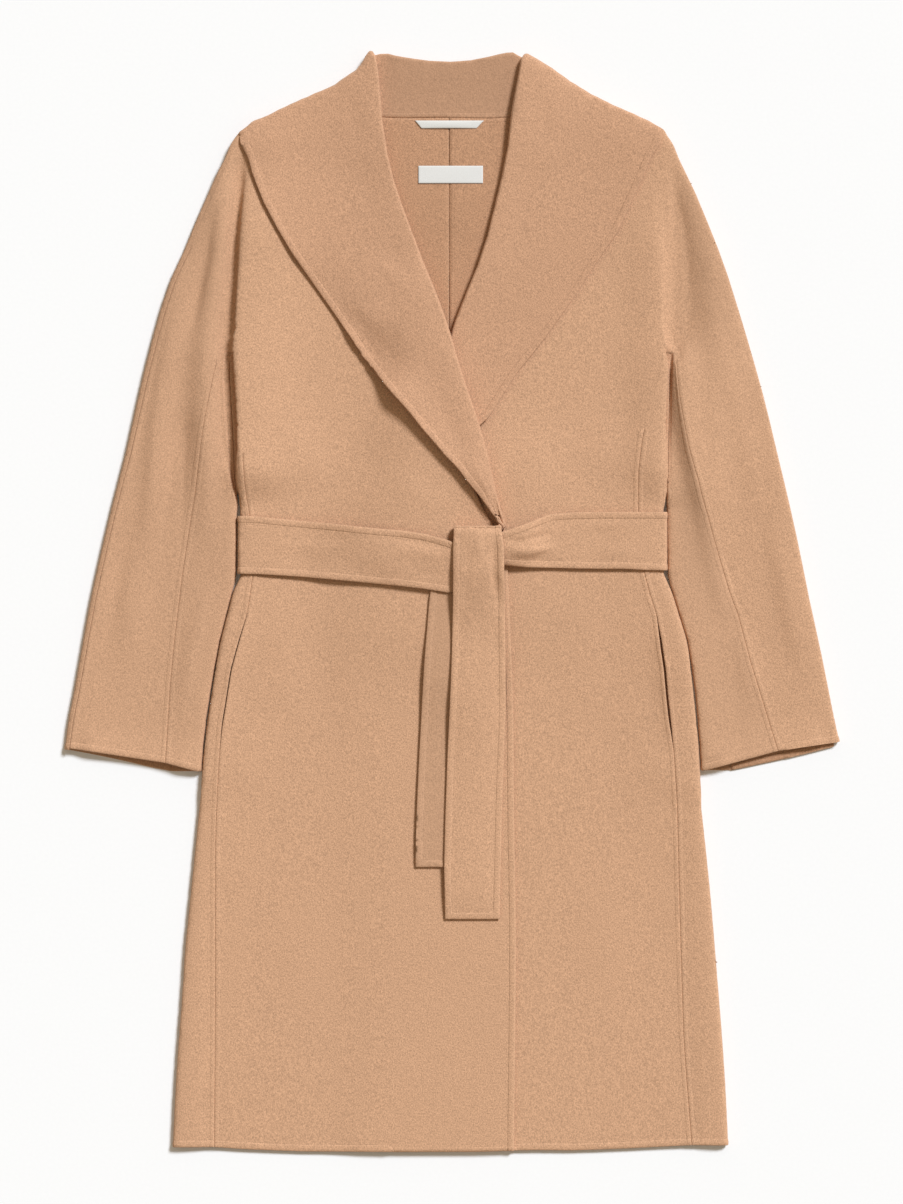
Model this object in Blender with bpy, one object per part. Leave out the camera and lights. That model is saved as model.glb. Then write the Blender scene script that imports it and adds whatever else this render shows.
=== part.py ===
"""Wool wrap coat with a shawl collar and a tied belt, lying flat on its back.

Sizes are in millimetres until the meshes are made, which are in metres.
x runs across the coat (the wearer's right side is at -x), y from hem to collar,
z up from the surface that the coat lies on. Each piece is a wall of cloth
round a middle sheet, and the pieces are laid on each other one after another.
"""
import math

import bpy
import numpy as np
from mathutils import Vector
from mathutils.geometry import delaunay_2d_cdt

MM = 0.001

# --- driving dimensions ------------------------------------------------------
CLOTH = 2.4               # double-face wool
TRIM = 1.0                # woven label and hanger strip
LAYER_GAP = 0.4           # between cloths that lie on each other
SEAM_GAP = 0.3            # between pieces that are sewn edge to edge
FOLD_RADIUS = 3.0         # of the cloth's middle in a soft fold
FOLD_RISE = 3.2           # how far a fold holds the upper cloth up
FOLD_REACH = 46.0         # how far in from the fold that rise dies out
ROLL_RUN = 1.0            # of a sleeve's edge beyond its half-round fold
NOTCH_Y = 110.5           # where they part at the back
DROP_Y = 102.0            # the section whose cloth hangs straight down there
NOTCH_WIDTH = 3.4         # half width of the back's notch at its top
NOTCH_RUN = 7.0           # side and under-sleeve cloth underneath, by that notch
UNDER_RUN = 30.0          # and further down
UNDER_GROWTH = 80.0       # the length in which it grows
FOLD_INSET = FOLD_RADIUS + CLOTH / 2   # from a fold's outside to where it starts
SPARE = 2 * SEAM_GAP      # between a rolled edge and the edge that it covers
SEAM_REACH = 1.5 * SEAM_GAP + 0.3      # points this close across a seam belong together
SAME_LAYER = 3.5          # and this close in height
PANEL_SPACING = 30.0      # mesh spacing of the large panels
CURVE_SPACING = 12.0      # and of the curves that distances are measured to
BACK_RISE = 1.5           # the back's hem lies this much higher

WOOL = (0.63, 0.38, 0.225)
WOOL_INSIDE = (0.53, 0.30, 0.17)
WOVEN = (0.86, 0.85, 0.83)


def table(columns, *rows):
    """Rows of numbers with named columns."""
    return dict(zip(columns.split(), np.array(rows, float).T))


# Right and left are the wearer's. Each x is measured outwards from the centre.
OUTER_EDGE = {
    "right": table("x y", (213, 458), (222, 451), (235, 426), (246, 401), (257, 376), (267, 351),
                   (279, 326), (288, 301), (302, 251), (314, 201), (325, 151), (338, 101), (350, 51),
                   (361, 1), (370, -49), (379, -99), (384, -124), (387, -149)),
    "left": table("x y", (213, 459), (223, 451), (236, 426), (248, 401), (258, 376), (268, 351),
                  (277, 326), (285, 301), (300, 251), (314, 201), (326, 151), (338, 101), (349, 51),
                  (359, 1), (370, -49), (380, -99), (385, -124), (389, -145)),
}
BODY_EDGE = {
    "right": table("y x", (262, 217), (225, 215), (195, 214), (140, 213), (105, 213), (94, 212),
                   (88, 209.5), (55, 208.5), (26, 210), (19, 214.5), (6, 219), (-39, 230.5), (-83, 239), (-128, 246),
                   (-173, 249), (-199, 252), (-249, 257), (-299, 262), (-349, 267), (-399, 270),
                   (-449, 274), (-499, 277), (-546, 279)),
    "left": table("y x", (262, 217), (225, 216), (195, 215), (144, 214), (105, 214.5), (94, 213.5),
                  (88, 211), (55, 211), (28, 212), (20, 217), (6, 222), (-39, 236), (-83, 243), (-128, 247),
                  (-170, 249.5), (-199, 250.5), (-249, 256), (-299, 261), (-349, 265), (-399, 269),
                  (-449, 273), (-499, 276), (-546, 278)),
}
SIDE_SEAM = {
    "right": table("y x", (262, 208.5), (225, 207.5), (195, 207), (144, 205.5), (101, 203), (85, 201),
                   (26, 198), (-12, 203.5), (-61, 219), (-129, 230), (-193, 234), (-249, 236),
                   (-402, 236), (-546, 237)),
    "left": table("y x", (262, 210), (225, 205), (195, 198), (169, 191), (129, 187), (91, 187),
                  (21, 194), (-3, 202), (-19, 207), (-61, 214), (-106, 218), (-139, 222),
                  (-197, 226), (-351, 230), (-443, 233), (-546, 241)),
}
SLEEVE_INNER_EDGE = {
    "right": table("y x", (262, 221), (241, 226), (221, 228), (201, 226), (161, 223), (121, 221.5),
                   (105, 218), (94, 216.5), (86, 216.5), (41, 216), (24, 217), (6, 221), (-39, 232), (-83, 240),
                   (-128, 247), (-173, 250.5)),
    "left": table("y x", (262, 224), (221, 223.5), (161, 222), (121, 221), (105, 219), (86, 217.5),
                  (41, 218), (24, 219), (6, 224), (-39, 237.5), (-83, 244.5), (-128, 248.5), (-171, 251)),
}
SLEEVE_SEAM = {
    "right": table("y x", (262, 229), (242, 234), (226, 239.5), (177, 248), (151, 251.5), (106, 257),
                   (26, 269), (-39, 277), (-94, 282), (-162, 286)),
    "left": table("y x", (262, 231.5), (235, 233), (208, 235), (144, 243), (103, 252), (55, 265),
                  (8, 279), (-16, 288), (-59, 299), (-94, 310), (-137, 323), (-150, 327)),
}
FRONT_CUFF = {
    "right": table("x y", (250, -172), (286, -162), (335, -154.5), (381, -147.5)),
    "left": table("x y", (251, -170), (327, -150), (383, -141.5)),
}
BACK_CUFF = {
    "right": table("x y", (250, -174), (291, -169), (315, -163), (351, -155), (383, -149)),
    "left": table("x y", (251, -172), (287, -168), (311, -163), (347, -155), (384, -145.5)),
}
SHOULDER = {
    "right": table("x y", (102, 493), (150, 485), (190, 472), (207, 461)),
    "left": table("x y", (99, 495), (150, 485), (190, 473), (207, 462)),
}
HEM = table("x y", (-280, -545), (-250, -545), (-225, -548), (-200, -549), (-150, -551), (25, -551),
            (75, -549.5), (125, -550), (175, -548), (200, -547), (225, -545), (280, -543.5))
NECK_SEAM = table("x y", (-102, 493), (-68, 484), (-2, 484), (55, 484), (99, 495))
CENTRE_BACK_X = -2.0
WRAP_EDGE = table("x y", (55.5, 62), (56.5, 33), (62, -99), (63, -206), (65, -351), (63, -546))

# The collar, a row for each section: where the cloth is sewn on, where it rolls
# over, its outer edge, and on which side of the sewn part the outer part lies.
LAPEL = {"right": table(
    "seam_x seam_y roll_x roll_y edge_x edge_y",
    (48, 68, 54, 76, 52, 74), (33, 91, 45, 110, 34, 91), (12, 138, 36, 151, 9, 116),
    (0, 172, 26, 184, -21, 154), (-12, 206, 15, 216, -51, 196), (-21, 235, 6, 245, -81, 236),
    (-30, 263, -2, 273, -107, 273), (-43, 298, -14, 307, -139, 319), (-56, 333, -28, 341, -158, 346),
    (-68, 365, -39, 370, -174, 373), (-78, 394, -49, 397, -187, 398), (-87, 422, -57, 421, -198, 427),
    (-93, 450, -63, 446, -203, 444), (-97, 474, -68, 478, -205.5, 454)), "left": table(
    "seam_x seam_y roll_x roll_y edge_x edge_y",
    (48, 70, 54, 76, 52, 74), (34, 97, 44, 111, 32, 96), (12, 143, 35, 152, 5, 138),
    (-2, 177, 24, 187, -16, 163), (-12, 206, 15, 216, -38, 184), (-22, 238, 5, 245, -66, 228),
    (-31, 265, -1, 273, -94, 263), (-42, 297, -13, 304, -124, 305), (-55, 331, -26, 335, -146, 339),
    (-66, 363, -36, 365, -166, 368), (-75, 391, -43, 394, -181, 400), (-82, 420, -50, 423, -193, 427),
    (-88, 450, -56, 453, -199.5, 443), (-93, 474, -60, 490, -204, 453))}
COLLAR_SIDE = {   # the silhouette of the collar from the roll's corner to its edge
    "right": table("x y", (77, 547), (92, 529.5), (107.5, 518), (123.5, 509), (139, 502.4),
                   (155, 496), (171, 490), (187, 483), (200, 478.5), (208, 467)),
    "left": table("x y", (74, 549), (84, 545.5), (100, 534), (116, 523), (132, 512), (148, 504),
                  (163.5, 496), (179.5, 488), (195, 482), (208, 469)),
}
COLLAR_BACK = table(
    "seam_x roll_x roll_y edge_x edge_y",
    (-93, -62, 546.7, -184, 446), (-83, -56, 546, -151, 432), (-68, -48, 544.7, -112, 421),
    (-48, -37, 543, -71, 414), (-24, -22, 541, -35, 411), (-2, 0, 540, 0, 410),
    (22, 20, 541.5, 35, 411), (42, 38, 545, 71, 414), (60, 48, 547.5, 112, 421),
    (78, 56, 549, 151, 432), (90, 62, 549.8, 184, 447))

# The belt where it crosses the fronts, from the knot outwards.
BELT_FRONT = {
    "right": table("x top bottom", (-22, 50, 14), (1, 60, 8), (20, 65, 11), (32, 69, 13),
                   (82, 73, 18), (115, 77, 21), (148, 80, 24), (180, 83, 26), (198, 85, 27)),
    "left": table("x top bottom", (27, 64, 33), (38, 66, 35), (50, 68, 36), (58, 73, 36), (72, 76, 34),
                  (102, 88, 33), (135, 89, 32), (174, 89, 32), (200, 89, 30.5)),
}
BELT_EDGE = {"right": 213.5, "left": 216.5}
TAIL_OVER = table("y left right", (62, 2, 52.5), (30, 2, 53), (7, 2, 53.5), (-45, 1, 54.2),
                  (-99, -1, 54.6), (-150, -3.5, 53), (-206, -5.5, 51), (-262, -7, 49.8), (-318, -6, 48.5))
TAIL_UNDER = table("y left right", (30, -17, 36), (10, -21, 33), (-63, -27, 27), (-120, -30, 23),
                   (-179, -33, 20), (-225, -35, 18), (-266, -35.5, 17))
KNOT_TOP = 75.0
KNOT_TUCK = 22.0          # the over tail's cloth behind the belt
LABEL = table("left right bottom top", (-32.6, 32, 418, 435.5))
STRIP = table("left right bottom top", (-35, 32, 472.6, 480.6))
POCKET = {"right": (-2.0, -159.0), "left": (-6.0, -156.0)}
FACING_WIDTH = 24.0
LAPEL_LIFT = {"right": 5.0, "left": 1.5}   # the lapel's edge stands off the front
LIFT_TOP = (250.0, 70.0)      # where that starts, and the length in which it grows
LIFT_BOTTOM = (78.0, 50.0)    # and the same from the low end
STAND_REACH = 26.0            # how far from the roll the stand is held up
LAPEL_REACH = 30.0            # and the lapel
SIGN = {"right": -1.0, "left": 1.0}


# --- curves ------------------------------------------------------------------
def spline(points, spacing):
    """A smooth curve through the points, at an even spacing."""
    points = np.asarray(points, float)
    before = 2 * points[0] - points[1]
    after = 2 * points[-1] - points[-2]
    knots = np.vstack([before, points, after])
    fine = []
    for a, b, c, d in zip(knots, knots[1:], knots[2:], knots[3:]):
        for t in np.arange(8) / 8.0:
            fine.append(0.5 * (2 * b + (c - a) * t + (2 * a - 5 * b + 4 * c - d) * t * t
                               + (3 * b - a - 3 * c + d) * t ** 3))
    fine.append(points[-1])
    fine = np.array(fine)
    length = np.concatenate([[0], np.cumsum(np.linalg.norm(np.diff(fine, axis=0), axis=1))])
    count = max(2, int(round(length[-1] / spacing)) + 1)
    along = np.linspace(0, length[-1], count)
    return np.column_stack([np.interp(along, length, fine[:, k]) for k in range(fine.shape[1])])


def shift(points, distance):
    """Moves a plan curve sideways, to its left when the distance is positive."""
    ahead = np.gradient(points, axis=0)
    ahead /= np.linalg.norm(ahead, axis=1)[:, None]
    return points + distance * np.column_stack([-ahead[:, 1], ahead[:, 0]])


def across(edge, y):
    """x of an edge table at the heights y."""
    order = np.argsort(edge["y"])
    return np.interp(y, edge["y"][order], edge["x"][order])


def hem_y(x):
    return np.interp(x, HEM["x"], HEM["y"])


def neck_y(x):
    """Height of the back neck seam."""
    curve = spline(np.column_stack([NECK_SEAM["x"], NECK_SEAM["y"]]), 4.0)
    return np.interp(x, curve[:, 0], curve[:, 1])


def smooth_step(t):
    t = np.clip(t, 0.0, 1.0)
    return t * t * (3 - 2 * t)


def distance_to(points, curve):
    """Plan distance from each point to a curve."""
    best = np.full(len(points), 1e9)
    for a, b in zip(curve, curve[1:]):
        run = b - a
        t = np.clip(((points - a) @ run) / max(run @ run, 1e-9), 0, 1)
        best = np.minimum(best, np.linalg.norm(points - a - t[:, None] * run, axis=1))
    return best


# --- the pile of cloth -------------------------------------------------------
class Pile:
    """The height of what lies on the surface so far, on a square lattice."""
    cell = 4.0
    half = (440.0, 600.0)

    def __init__(self):
        self.shape = tuple(int(2 * h / self.cell) for h in self.half)
        self.top = np.zeros(self.shape)

    def index(self, xy):
        ij = np.floor((xy + np.array(self.half)) / self.cell).astype(int)
        return np.clip(ij, 0, np.array(self.shape) - 1)

    def under(self, points, faces):
        """For each point, the highest cloth under the faces that meet there."""
        wide = self.top.copy()
        for shift_by in ((0, 1), (1, 0), (0, -1), (-1, 0), (1, 1), (-1, -1), (1, -1), (-1, 1)):
            wide = np.maximum(wide, np.roll(self.top, shift_by, (0, 1)))
        ij = self.index(points[:, :2])
        height = wide[ij[:, 0], ij[:, 1]]
        if faces:
            tri = np.array([t for face in faces for t in split(face)])
            corners = points[tri]
            peak = np.zeros(len(tri))
            for spot in lattice(corners):
                ij = self.index(spot[:, :2])
                peak = np.maximum(peak, wide[ij[:, 0], ij[:, 1]])
            for k in range(3):
                np.maximum.at(height, tri[:, k], peak)
        return height

    def add(self, points, faces, thickness):
        """Adds the upper side of a laid sheet."""
        tri = np.array([t for face in faces for t in split(face)])
        for spot in lattice(points[tri]):
            ij = self.index(spot[:, :2])
            np.maximum.at(self.top, (ij[:, 0], ij[:, 1]), spot[:, 2] + thickness / 2)


def lattice(corners, steps=12):
    """Points spread evenly over each triangle."""
    for i in range(steps + 1):
        for j in range(steps + 1 - i):
            a, b = i / steps, j / steps
            yield corners[:, 0] * (1 - a - b) + corners[:, 1] * a + corners[:, 2] * b


def split(face):
    return [(face[0], face[k], face[k + 1]) for k in range(1, len(face) - 1)]


# --- sheets ------------------------------------------------------------------
class Sheet:
    """The middle surface of one piece of cloth. Its z is given as it is laid."""

    def __init__(self, name, plan, faces, colour=WOOL, thickness=CLOTH):
        self.name = name
        self.points = np.column_stack([plan, np.full(len(plan), np.nan)])
        self.faces = faces
        self.colour = colour
        self.thickness = thickness

    def lay(self, pile, ids=None, rise=0.0, gap=LAYER_GAP):
        """Lays some of the points on the pile, and adds the faces that are then laid."""
        ids = np.arange(len(self.points)) if ids is None else np.asarray(ids)
        base = pile.under(self.points, self.faces_of(ids))[ids]
        base = np.where(base > 0.05, base + gap, 0.0)
        self.points[ids, 2] = base + self.thickness / 2 + rise
        return ids

    def faces_of(self, ids):
        """The faces whose points are all in ids."""
        chosen = set(int(i) for i in ids)
        return [face for face in self.faces if chosen.issuperset(face)]

    def settle(self, pile, ids):
        faces = self.faces_of(ids)
        if faces:
            pile.add(self.points, faces, self.thickness)


def panel(name, outline, spacing=PANEL_SPACING, **options):
    """A flat panel: its outline's points, and a lattice of points inside it."""
    outline = np.vstack([part[:-1] if np.allclose(part[-1], after[0]) else part
                         for part, after in zip(outline, outline[1:] + outline[:1])])
    low, high = outline.min(0), outline.max(0)
    rows = np.arange(low[1] + spacing / 2, high[1], spacing * 0.87)
    inner = []
    for k, y in enumerate(rows):
        for x in np.arange(low[0] + spacing * (0.25 + 0.5 * (k % 2)), high[0], spacing):
            inner.append((x, y))
    inner = np.array(inner)
    closed = np.vstack([outline, outline[:1]])
    inside = np.zeros(len(inner), bool)
    for a, b in zip(closed, closed[1:]):
        crosses = (a[1] > inner[:, 1]) != (b[1] > inner[:, 1])
        rise = b[1] - a[1] if b[1] != a[1] else 1e-9
        inside ^= crosses & (inner[:, 0] < a[0] + (inner[:, 1] - a[1]) * (b[0] - a[0]) / rise)
    inner = inner[inside & (distance_to(inner, closed) > spacing * 0.5)]
    points = [Vector(p) for p in np.vstack([outline, inner])]
    ring = list(range(len(outline)))
    found = delaunay_2d_cdt(points, [], [ring], 1, 1e-4)
    plan = np.array([tuple(p) for p in found[0]])
    return Sheet(name, plan, [tuple(f) for f in found[2]], **options)


def ladder(name, rows, **options):
    """A sheet of sections: rows[i][k] is plan point k of section i."""
    rows = np.asarray(rows)
    count = rows.shape[1]
    faces = [(i * count + k, i * count + k + 1, (i + 1) * count + k + 1, (i + 1) * count + k)
             for i in range(len(rows) - 1) for k in range(count - 1)]
    return Sheet(name, rows.reshape(-1, 2), faces, **options)


def columns(sheet, width, *wanted):
    """Point numbers of the wanted columns of a ladder."""
    rows = len(sheet.points) // width
    return np.array([i * width + k for i in range(rows) for k in wanted])


def roll_edge(sheet, edge, outward, upward):
    """Adds a half-round fold and a short run to the points nearest to an edge curve."""
    plan = sheet.points[:, :2]
    chain = [int(np.argmin(np.linalg.norm(plan - p, axis=1))) for p in edge]
    chain = [c for k, c in enumerate(chain) if k == 0 or c != chain[k - 1]]
    along = np.gradient(plan[chain], axis=0)
    along /= np.linalg.norm(along, axis=1)[:, None]
    normal = np.column_stack([along[:, 1], -along[:, 0]])
    normal *= np.sign((normal * outward).sum(1))[:, None]
    profile = [(FOLD_RADIUS * math.sin(math.radians(a)), (1 - math.cos(math.radians(a))) / 2)
               for a in (45, 90, 135, 180)] + [(-ROLL_RUN, 1.0)]
    rows = [chain]
    added = []
    for out, climb in profile:
        start = len(sheet.points) + len(added)
        added += [(*(plan[c] + normal[k] * out), climb) for k, c in enumerate(chain)]
        rows.append(list(range(start, start + len(chain))))
    base = len(sheet.points)
    sheet.points = np.vstack([sheet.points, np.array(added)])
    edges = {(a, b) for face in sheet.faces for a, b in zip(face, face[1:] + face[:1])}
    forward = (chain[0], chain[1]) in edges
    for low, high in zip(rows, rows[1:]):
        for k in range(len(chain) - 1):
            face = (low[k], low[k + 1], high[k + 1], high[k])
            sheet.faces.append(face[::-1] if forward else face)
    sheet.roll = (base, chain, upward)
    return sheet


def finish_roll(sheet):
    """Gives a rolled edge its heights, from the edge that it grows out of."""
    base, chain, upward = sheet.roll
    drop = 2 * FOLD_RADIUS
    for k in range(base, len(sheet.points)):
        source = chain[(k - base) % len(chain)]
        climb = sheet.points[k, 2]
        sheet.points[k, 2] = sheet.points[source, 2] + upward * drop * climb


# --- solids ------------------------------------------------------------------
def wall(sheet):
    """A closed wall of even thickness round a sheet."""
    points = sheet.points * MM
    normals = np.zeros_like(points)
    for face in sheet.faces:
        for tri in split(face):
            a, b, c = points[list(tri)]
            n = np.cross(b - a, c - a)
            for v in tri:
                normals[v] += n
    normals /= np.linalg.norm(normals, axis=1)[:, None]
    half = sheet.thickness * MM / 2
    count = len(points)
    verts = np.vstack([points + normals * half, points - normals * half])
    faces = []
    border = {}
    for face in sheet.faces:
        for tri in split(face):
            faces.append(tri)
            faces.append(tuple(v + count for v in reversed(tri)))
        for a, b in zip(face, face[1:] + face[:1]):
            border[(a, b)] = border.get((a, b), 0) + 1
    for a, b in border:
        if (b, a) not in border:
            faces.append((b, a, a + count, b + count))
    mesh = bpy.data.meshes.new(sheet.name)
    mesh.from_pydata([tuple(v) for v in verts], [], faces)
    mesh.update()
    volume = sum(np.dot(verts[t[0]], np.cross(verts[t[1]], verts[t[2]]))
                 for f in faces for t in split(f))
    if volume < 0:
        mesh.flip_normals()
    mesh.materials.append(material(sheet.name, sheet.colour))
    obj = bpy.data.objects.new(sheet.name, mesh)
    bpy.context.scene.collection.objects.link(obj)
    mesh.shade_smooth()
    return obj


def material(name, colour):
    made = bpy.data.materials.new(name)
    made.use_nodes = True
    shader = made.node_tree.nodes["Principled BSDF"]
    shader.inputs["Base Color"].default_value = (*colour, 1.0)
    shader.inputs["Roughness"].default_value = 0.92
    shader.inputs["Metallic"].default_value = 0.0
    return made


# --- the coat's curves in plan -----------------------------------------------
def outward(side, edge):
    """Plan points of an edge table on one side of the coat."""
    return np.column_stack([SIGN[side] * edge["x"], edge["y"]])


VALLEY_Y = np.array([248.0, 225, 200, 176, 152, 130, 112])
WAIST_Y = np.array([DROP_Y, 93, 72, 48, 26, 8, -14])
LOWER_Y = -40.0
HEM_CORNER_Y = -546.0
BODY_COUNT = 19
SLEEVE_COUNT = 6


def body_rows():
    """Heights of the side panel's sections, from underarm to hem."""
    return np.concatenate([VALLEY_Y, WAIST_Y, np.linspace(LOWER_Y, HEM_CORNER_Y, BODY_COUNT)])


def sleeve_rows(end):
    """Heights of the under-sleeve panel's sections, from underarm to cuff."""
    return np.concatenate([VALLEY_Y, WAIST_Y, np.linspace(LOWER_Y, end, SLEEVE_COUNT)])


def under_sleeve_y(side):
    """Those heights underneath, where the rows lean to meet the back's cuff."""
    return sleeve_rows(BACK_CUFF[side]["y"][1] - 1.5)


def seam_points(edge, ys, sign):
    return np.column_stack([sign * across(edge, ys), ys])


def valley_x(side, ys):
    return (across(BODY_EDGE[side], ys) + across(SLEEVE_INNER_EDGE[side], ys)) / 2


def under_width(ys):
    """How far the wrapped cloth runs underneath, growing from the back's notch."""
    grow = smooth_step((DROP_Y - ys) / UNDER_GROWTH)
    return np.where(ys < DROP_Y - 1, NOTCH_RUN + (UNDER_RUN - NOTCH_RUN) * grow, NOTCH_WIDTH)


def under_seam(side, edge, ys, plan_y, inward):
    """The seam underneath, from the back's notch down. plan_y may lean the rows."""
    x = across(edge, ys) - inward * under_width(ys)
    return np.column_stack([SIGN[side] * x, plan_y])


def body_seam(side):
    return seam_points(SIDE_SEAM[side], body_rows(), SIGN[side])


def sleeve_seam(side):
    return seam_points(SLEEVE_SEAM[side], sleeve_rows(SLEEVE_SEAM[side]["y"][-1]), SIGN[side])


def rolled_edge(side, inset):
    """The sleeve's outer edge from the shoulder to the cuff, moved inwards."""
    curve = spline(outward(side, OUTER_EDGE[side]), PANEL_SPACING)
    return shift(curve, -SIGN[side] * inset)


def back_panel(side):
    sign = SIGN[side]
    half = SEAM_GAP / 2
    centre = CENTRE_BACK_X + sign * half
    neck = neck_curve(side)
    shoulder = spline(outward(side, SHOULDER[side]), PANEL_SPACING)
    edge = rolled_edge(side, FOLD_INSET + (0.0 if side == "right" else ROLL_RUN + SPARE))
    cuff_end = BACK_CUFF[side]
    cuff_x = np.linspace(abs(edge[-1][0]), SLEEVE_INNER_EDGE[side]["x"][-1] + UNDER_RUN, 6)
    cuff = np.column_stack([sign * cuff_x, np.interp(cuff_x, cuff_end["x"], cuff_end["y"])])
    edge[-1] = cuff[0]
    low = len(VALLEY_Y)
    sleeve_y = sleeve_rows(SLEEVE_INNER_EDGE[side]["y"][-1])[low:]
    under_y = under_sleeve_y(side)[low:]
    inner = under_seam(side, SLEEVE_INNER_EDGE[side], sleeve_y, under_y, -1.0)
    body_y = body_rows()[low:]
    body = under_seam(side, BODY_EDGE[side], body_y, body_y, 1.0)
    inner = shift(inner, half * sign)[::-1]
    body = shift(body, -half * sign)
    notch = np.array([[inner[-1][0], NOTCH_Y], [body[0][0], NOTCH_Y]])
    body[-1][1] = hem_y(body[-1][0]) + BACK_RISE
    hem_x = np.linspace(body[-1][0], centre, 9)
    hem = np.column_stack([hem_x, hem_y(hem_x) + BACK_RISE])
    middle = np.column_stack([np.full(34, centre), np.linspace(hem[-1][1], neck[0][1], 34)])
    cuff[-1] = inner[0]
    hem[0] = body[-1]
    outline = [neck, shoulder, edge, cuff[1:], inner, notch, body, hem, middle]
    sheet = panel("back_" + side, outline, colour=WOOL_INSIDE)
    if side == "right":
        roll_edge(sheet, edge, np.array([sign, 0.2]), 1.0)
    return sheet


def neck_curve(side):
    """The neck seam from the centre back to the shoulder, on the body's side of it."""
    centre = CENTRE_BACK_X + SIGN[side] * SEAM_GAP / 2
    x = COLLAR_BACK["seam_x"]
    x = x[x < centre - 6][::-1] if side == "right" else x[x > centre + 6]
    x = np.concatenate([[centre], x])
    return np.column_stack([x, neck_y(x) - SEAM_GAP / 2])


def lapel_curve(side, which):
    """Plan points of the seam, roll or edge of one lapel, from its low end up."""
    rows = LAPEL[side]
    return np.column_stack([-SIGN[side] * rows[which + "_x"], rows[which + "_y"]])


def front_panel(side):
    sign = SIGN[side]
    half = SEAM_GAP / 2
    shoulder = spline(outward(side, SHOULDER[side]), PANEL_SPACING)
    shoulder[0] += (0, 0.3)
    edge = rolled_edge(side, FOLD_INSET + (0.0 if side == "left" else ROLL_RUN + SPARE))
    seam = sleeve_seam(side)
    cuff_table = FRONT_CUFF[side]
    cuff_x = np.linspace(abs(edge[-1][0]), abs(seam[-1][0]), 5)
    cuff = np.column_stack([sign * cuff_x, np.interp(cuff_x, cuff_table["x"], cuff_table["y"])])
    edge[-1] = cuff[0]
    inner = shift(seam, half * sign)[::-1]
    cuff[-1] = inner[0]
    apex = np.array([[sign * valley_x(side, VALLEY_Y[0]), VALLEY_Y[0] + 3 * SEAM_GAP]])
    body = shift(body_seam(side), -half * sign)
    wrap_edge = spline(np.column_stack([-sign * WRAP_EDGE["x"], WRAP_EDGE["y"]]), PANEL_SPACING)
    hem_x = np.linspace(body[-1][0], wrap_edge[-1][0], 11)
    hem = np.column_stack([hem_x, hem_y(hem_x)])
    body[-1] = hem[0]
    up = wrap_edge[::-1]
    up[0] = hem[-1]
    collar = shift(lapel_curve(side, "seam"), -half * sign)
    sheet = panel("front_" + side, [shoulder, edge, cuff[1:], inner, apex, body, hem, up, collar])
    if side == "left":
        roll_edge(sheet, edge, np.array([sign, 0.2]), -1.0)
    return sheet


def wrap_section(side, edge, ys, seam, inward, end_curve):
    """Plan columns of a wrapped panel: top run, fold, and the run underneath."""
    sign = SIGN[side] * inward
    middle = across(edge, ys) * SIGN[side] - sign * CLOTH / 2
    start = middle - sign * FOLD_RADIUS
    rows = []
    for k, y in enumerate(ys):
        level = end_curve[k][1]
        arc = [(start[k] + sign * FOLD_RADIUS * math.sin(math.radians(a)), level) for a in (0, 45, 90)]
        if y > NOTCH_Y:
            reach = abs(end_curve[k][0] - middle[k])
            lower = [(middle[k] + sign * reach * f, level) for f in (0.3, 0.62)]
            last = end_curve[k]
        elif y > DROP_Y - 1:
            lower = [(middle[k], level), (middle[k], level)]
            last = (middle[k], level)
        else:
            lower = [(start[k] + sign * FOLD_RADIUS * math.sin(math.radians(a)), level) for a in (135, 180)]
            last = end_curve[k]
        half_way = (seam[k] + np.array(arc[0])) / 2
        rows.append([seam[k], half_way, *arc, *lower, last])
    return rows


WRAP_WIDTH = 8
WRAP_CLIMB = {3: 0.854, 4: 0.5, 5: 0.146}
DROP_CLIMB = {3: 0.854, 4: 0.58, 5: 0.36, 6: 0.18}


def side_panel(side):
    sign = SIGN[side]
    half = SEAM_GAP / 2
    ys = body_rows()
    seam = shift(body_seam(side), half * sign)
    under = shift(under_seam(side, BODY_EDGE[side], ys, ys, 1.0), half * sign)
    valley = np.column_stack([sign * (valley_x(side, ys) - half), ys])
    end = np.where((ys > NOTCH_Y)[:, None], valley, under)
    seam[-1][1] = end[-1][1] = float(hem_y(seam[-1][0]))
    rows = wrap_section(side, BODY_EDGE[side], ys, seam, 1.0, end)
    return ladder("side_panel_" + side, rows)


def under_sleeve(side):
    sign = SIGN[side]
    half = SEAM_GAP / 2
    ys = sleeve_rows(SLEEVE_INNER_EDGE[side]["y"][-1])
    seam = shift(sleeve_seam(side), -half * sign)
    under = under_seam(side, SLEEVE_INNER_EDGE[side], ys, under_sleeve_y(side), -1.0)
    under = shift(under, -half * sign)
    valley = np.column_stack([sign * (valley_x(side, ys) + half), ys])
    end = np.where((ys > NOTCH_Y)[:, None], valley, under)
    rows = wrap_section(side, SLEEVE_INNER_EDGE[side], ys, seam, -1.0, end)
    return ladder("under_sleeve_" + side, rows)


# --- the collar --------------------------------------------------------------
SEAM_CELLS = 3
TURN = (30, 70, 110, 150)
EDGE_CELLS = 6
COLLAR_WIDTH = SEAM_CELLS + 1 + len(TURN) + EDGE_CELLS + 1
CORNER = (50, 0, -50)
SIDE_RADIUS = 5.2         # of the collar where it turns round the shoulder
STAND_RADIUS = 1.9        # of the stand inside that turn
CORNER_TURN = 3.0         # how far the roll stands out at that corner
CORNER_SPARE = 2.0        # how much wider the turn is there
CORNER_INSET = (4.6, 0.8)   # of the stand's turn from the neck seam's end
LOW_END = 4.0             # width of the folded part at the lapel's low end


def collar_row(seam, roll, edge_path, out):
    """Plan points of one section of the collar."""
    start = roll - out * FOLD_INSET
    sewn = [seam + (start - seam) * t for t in np.linspace(0, 1, SEAM_CELLS + 1)]
    turn = [start + out * FOLD_RADIUS * math.sin(math.radians(a)) for a in TURN]
    return [*sewn, *turn, *edge_path]


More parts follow.
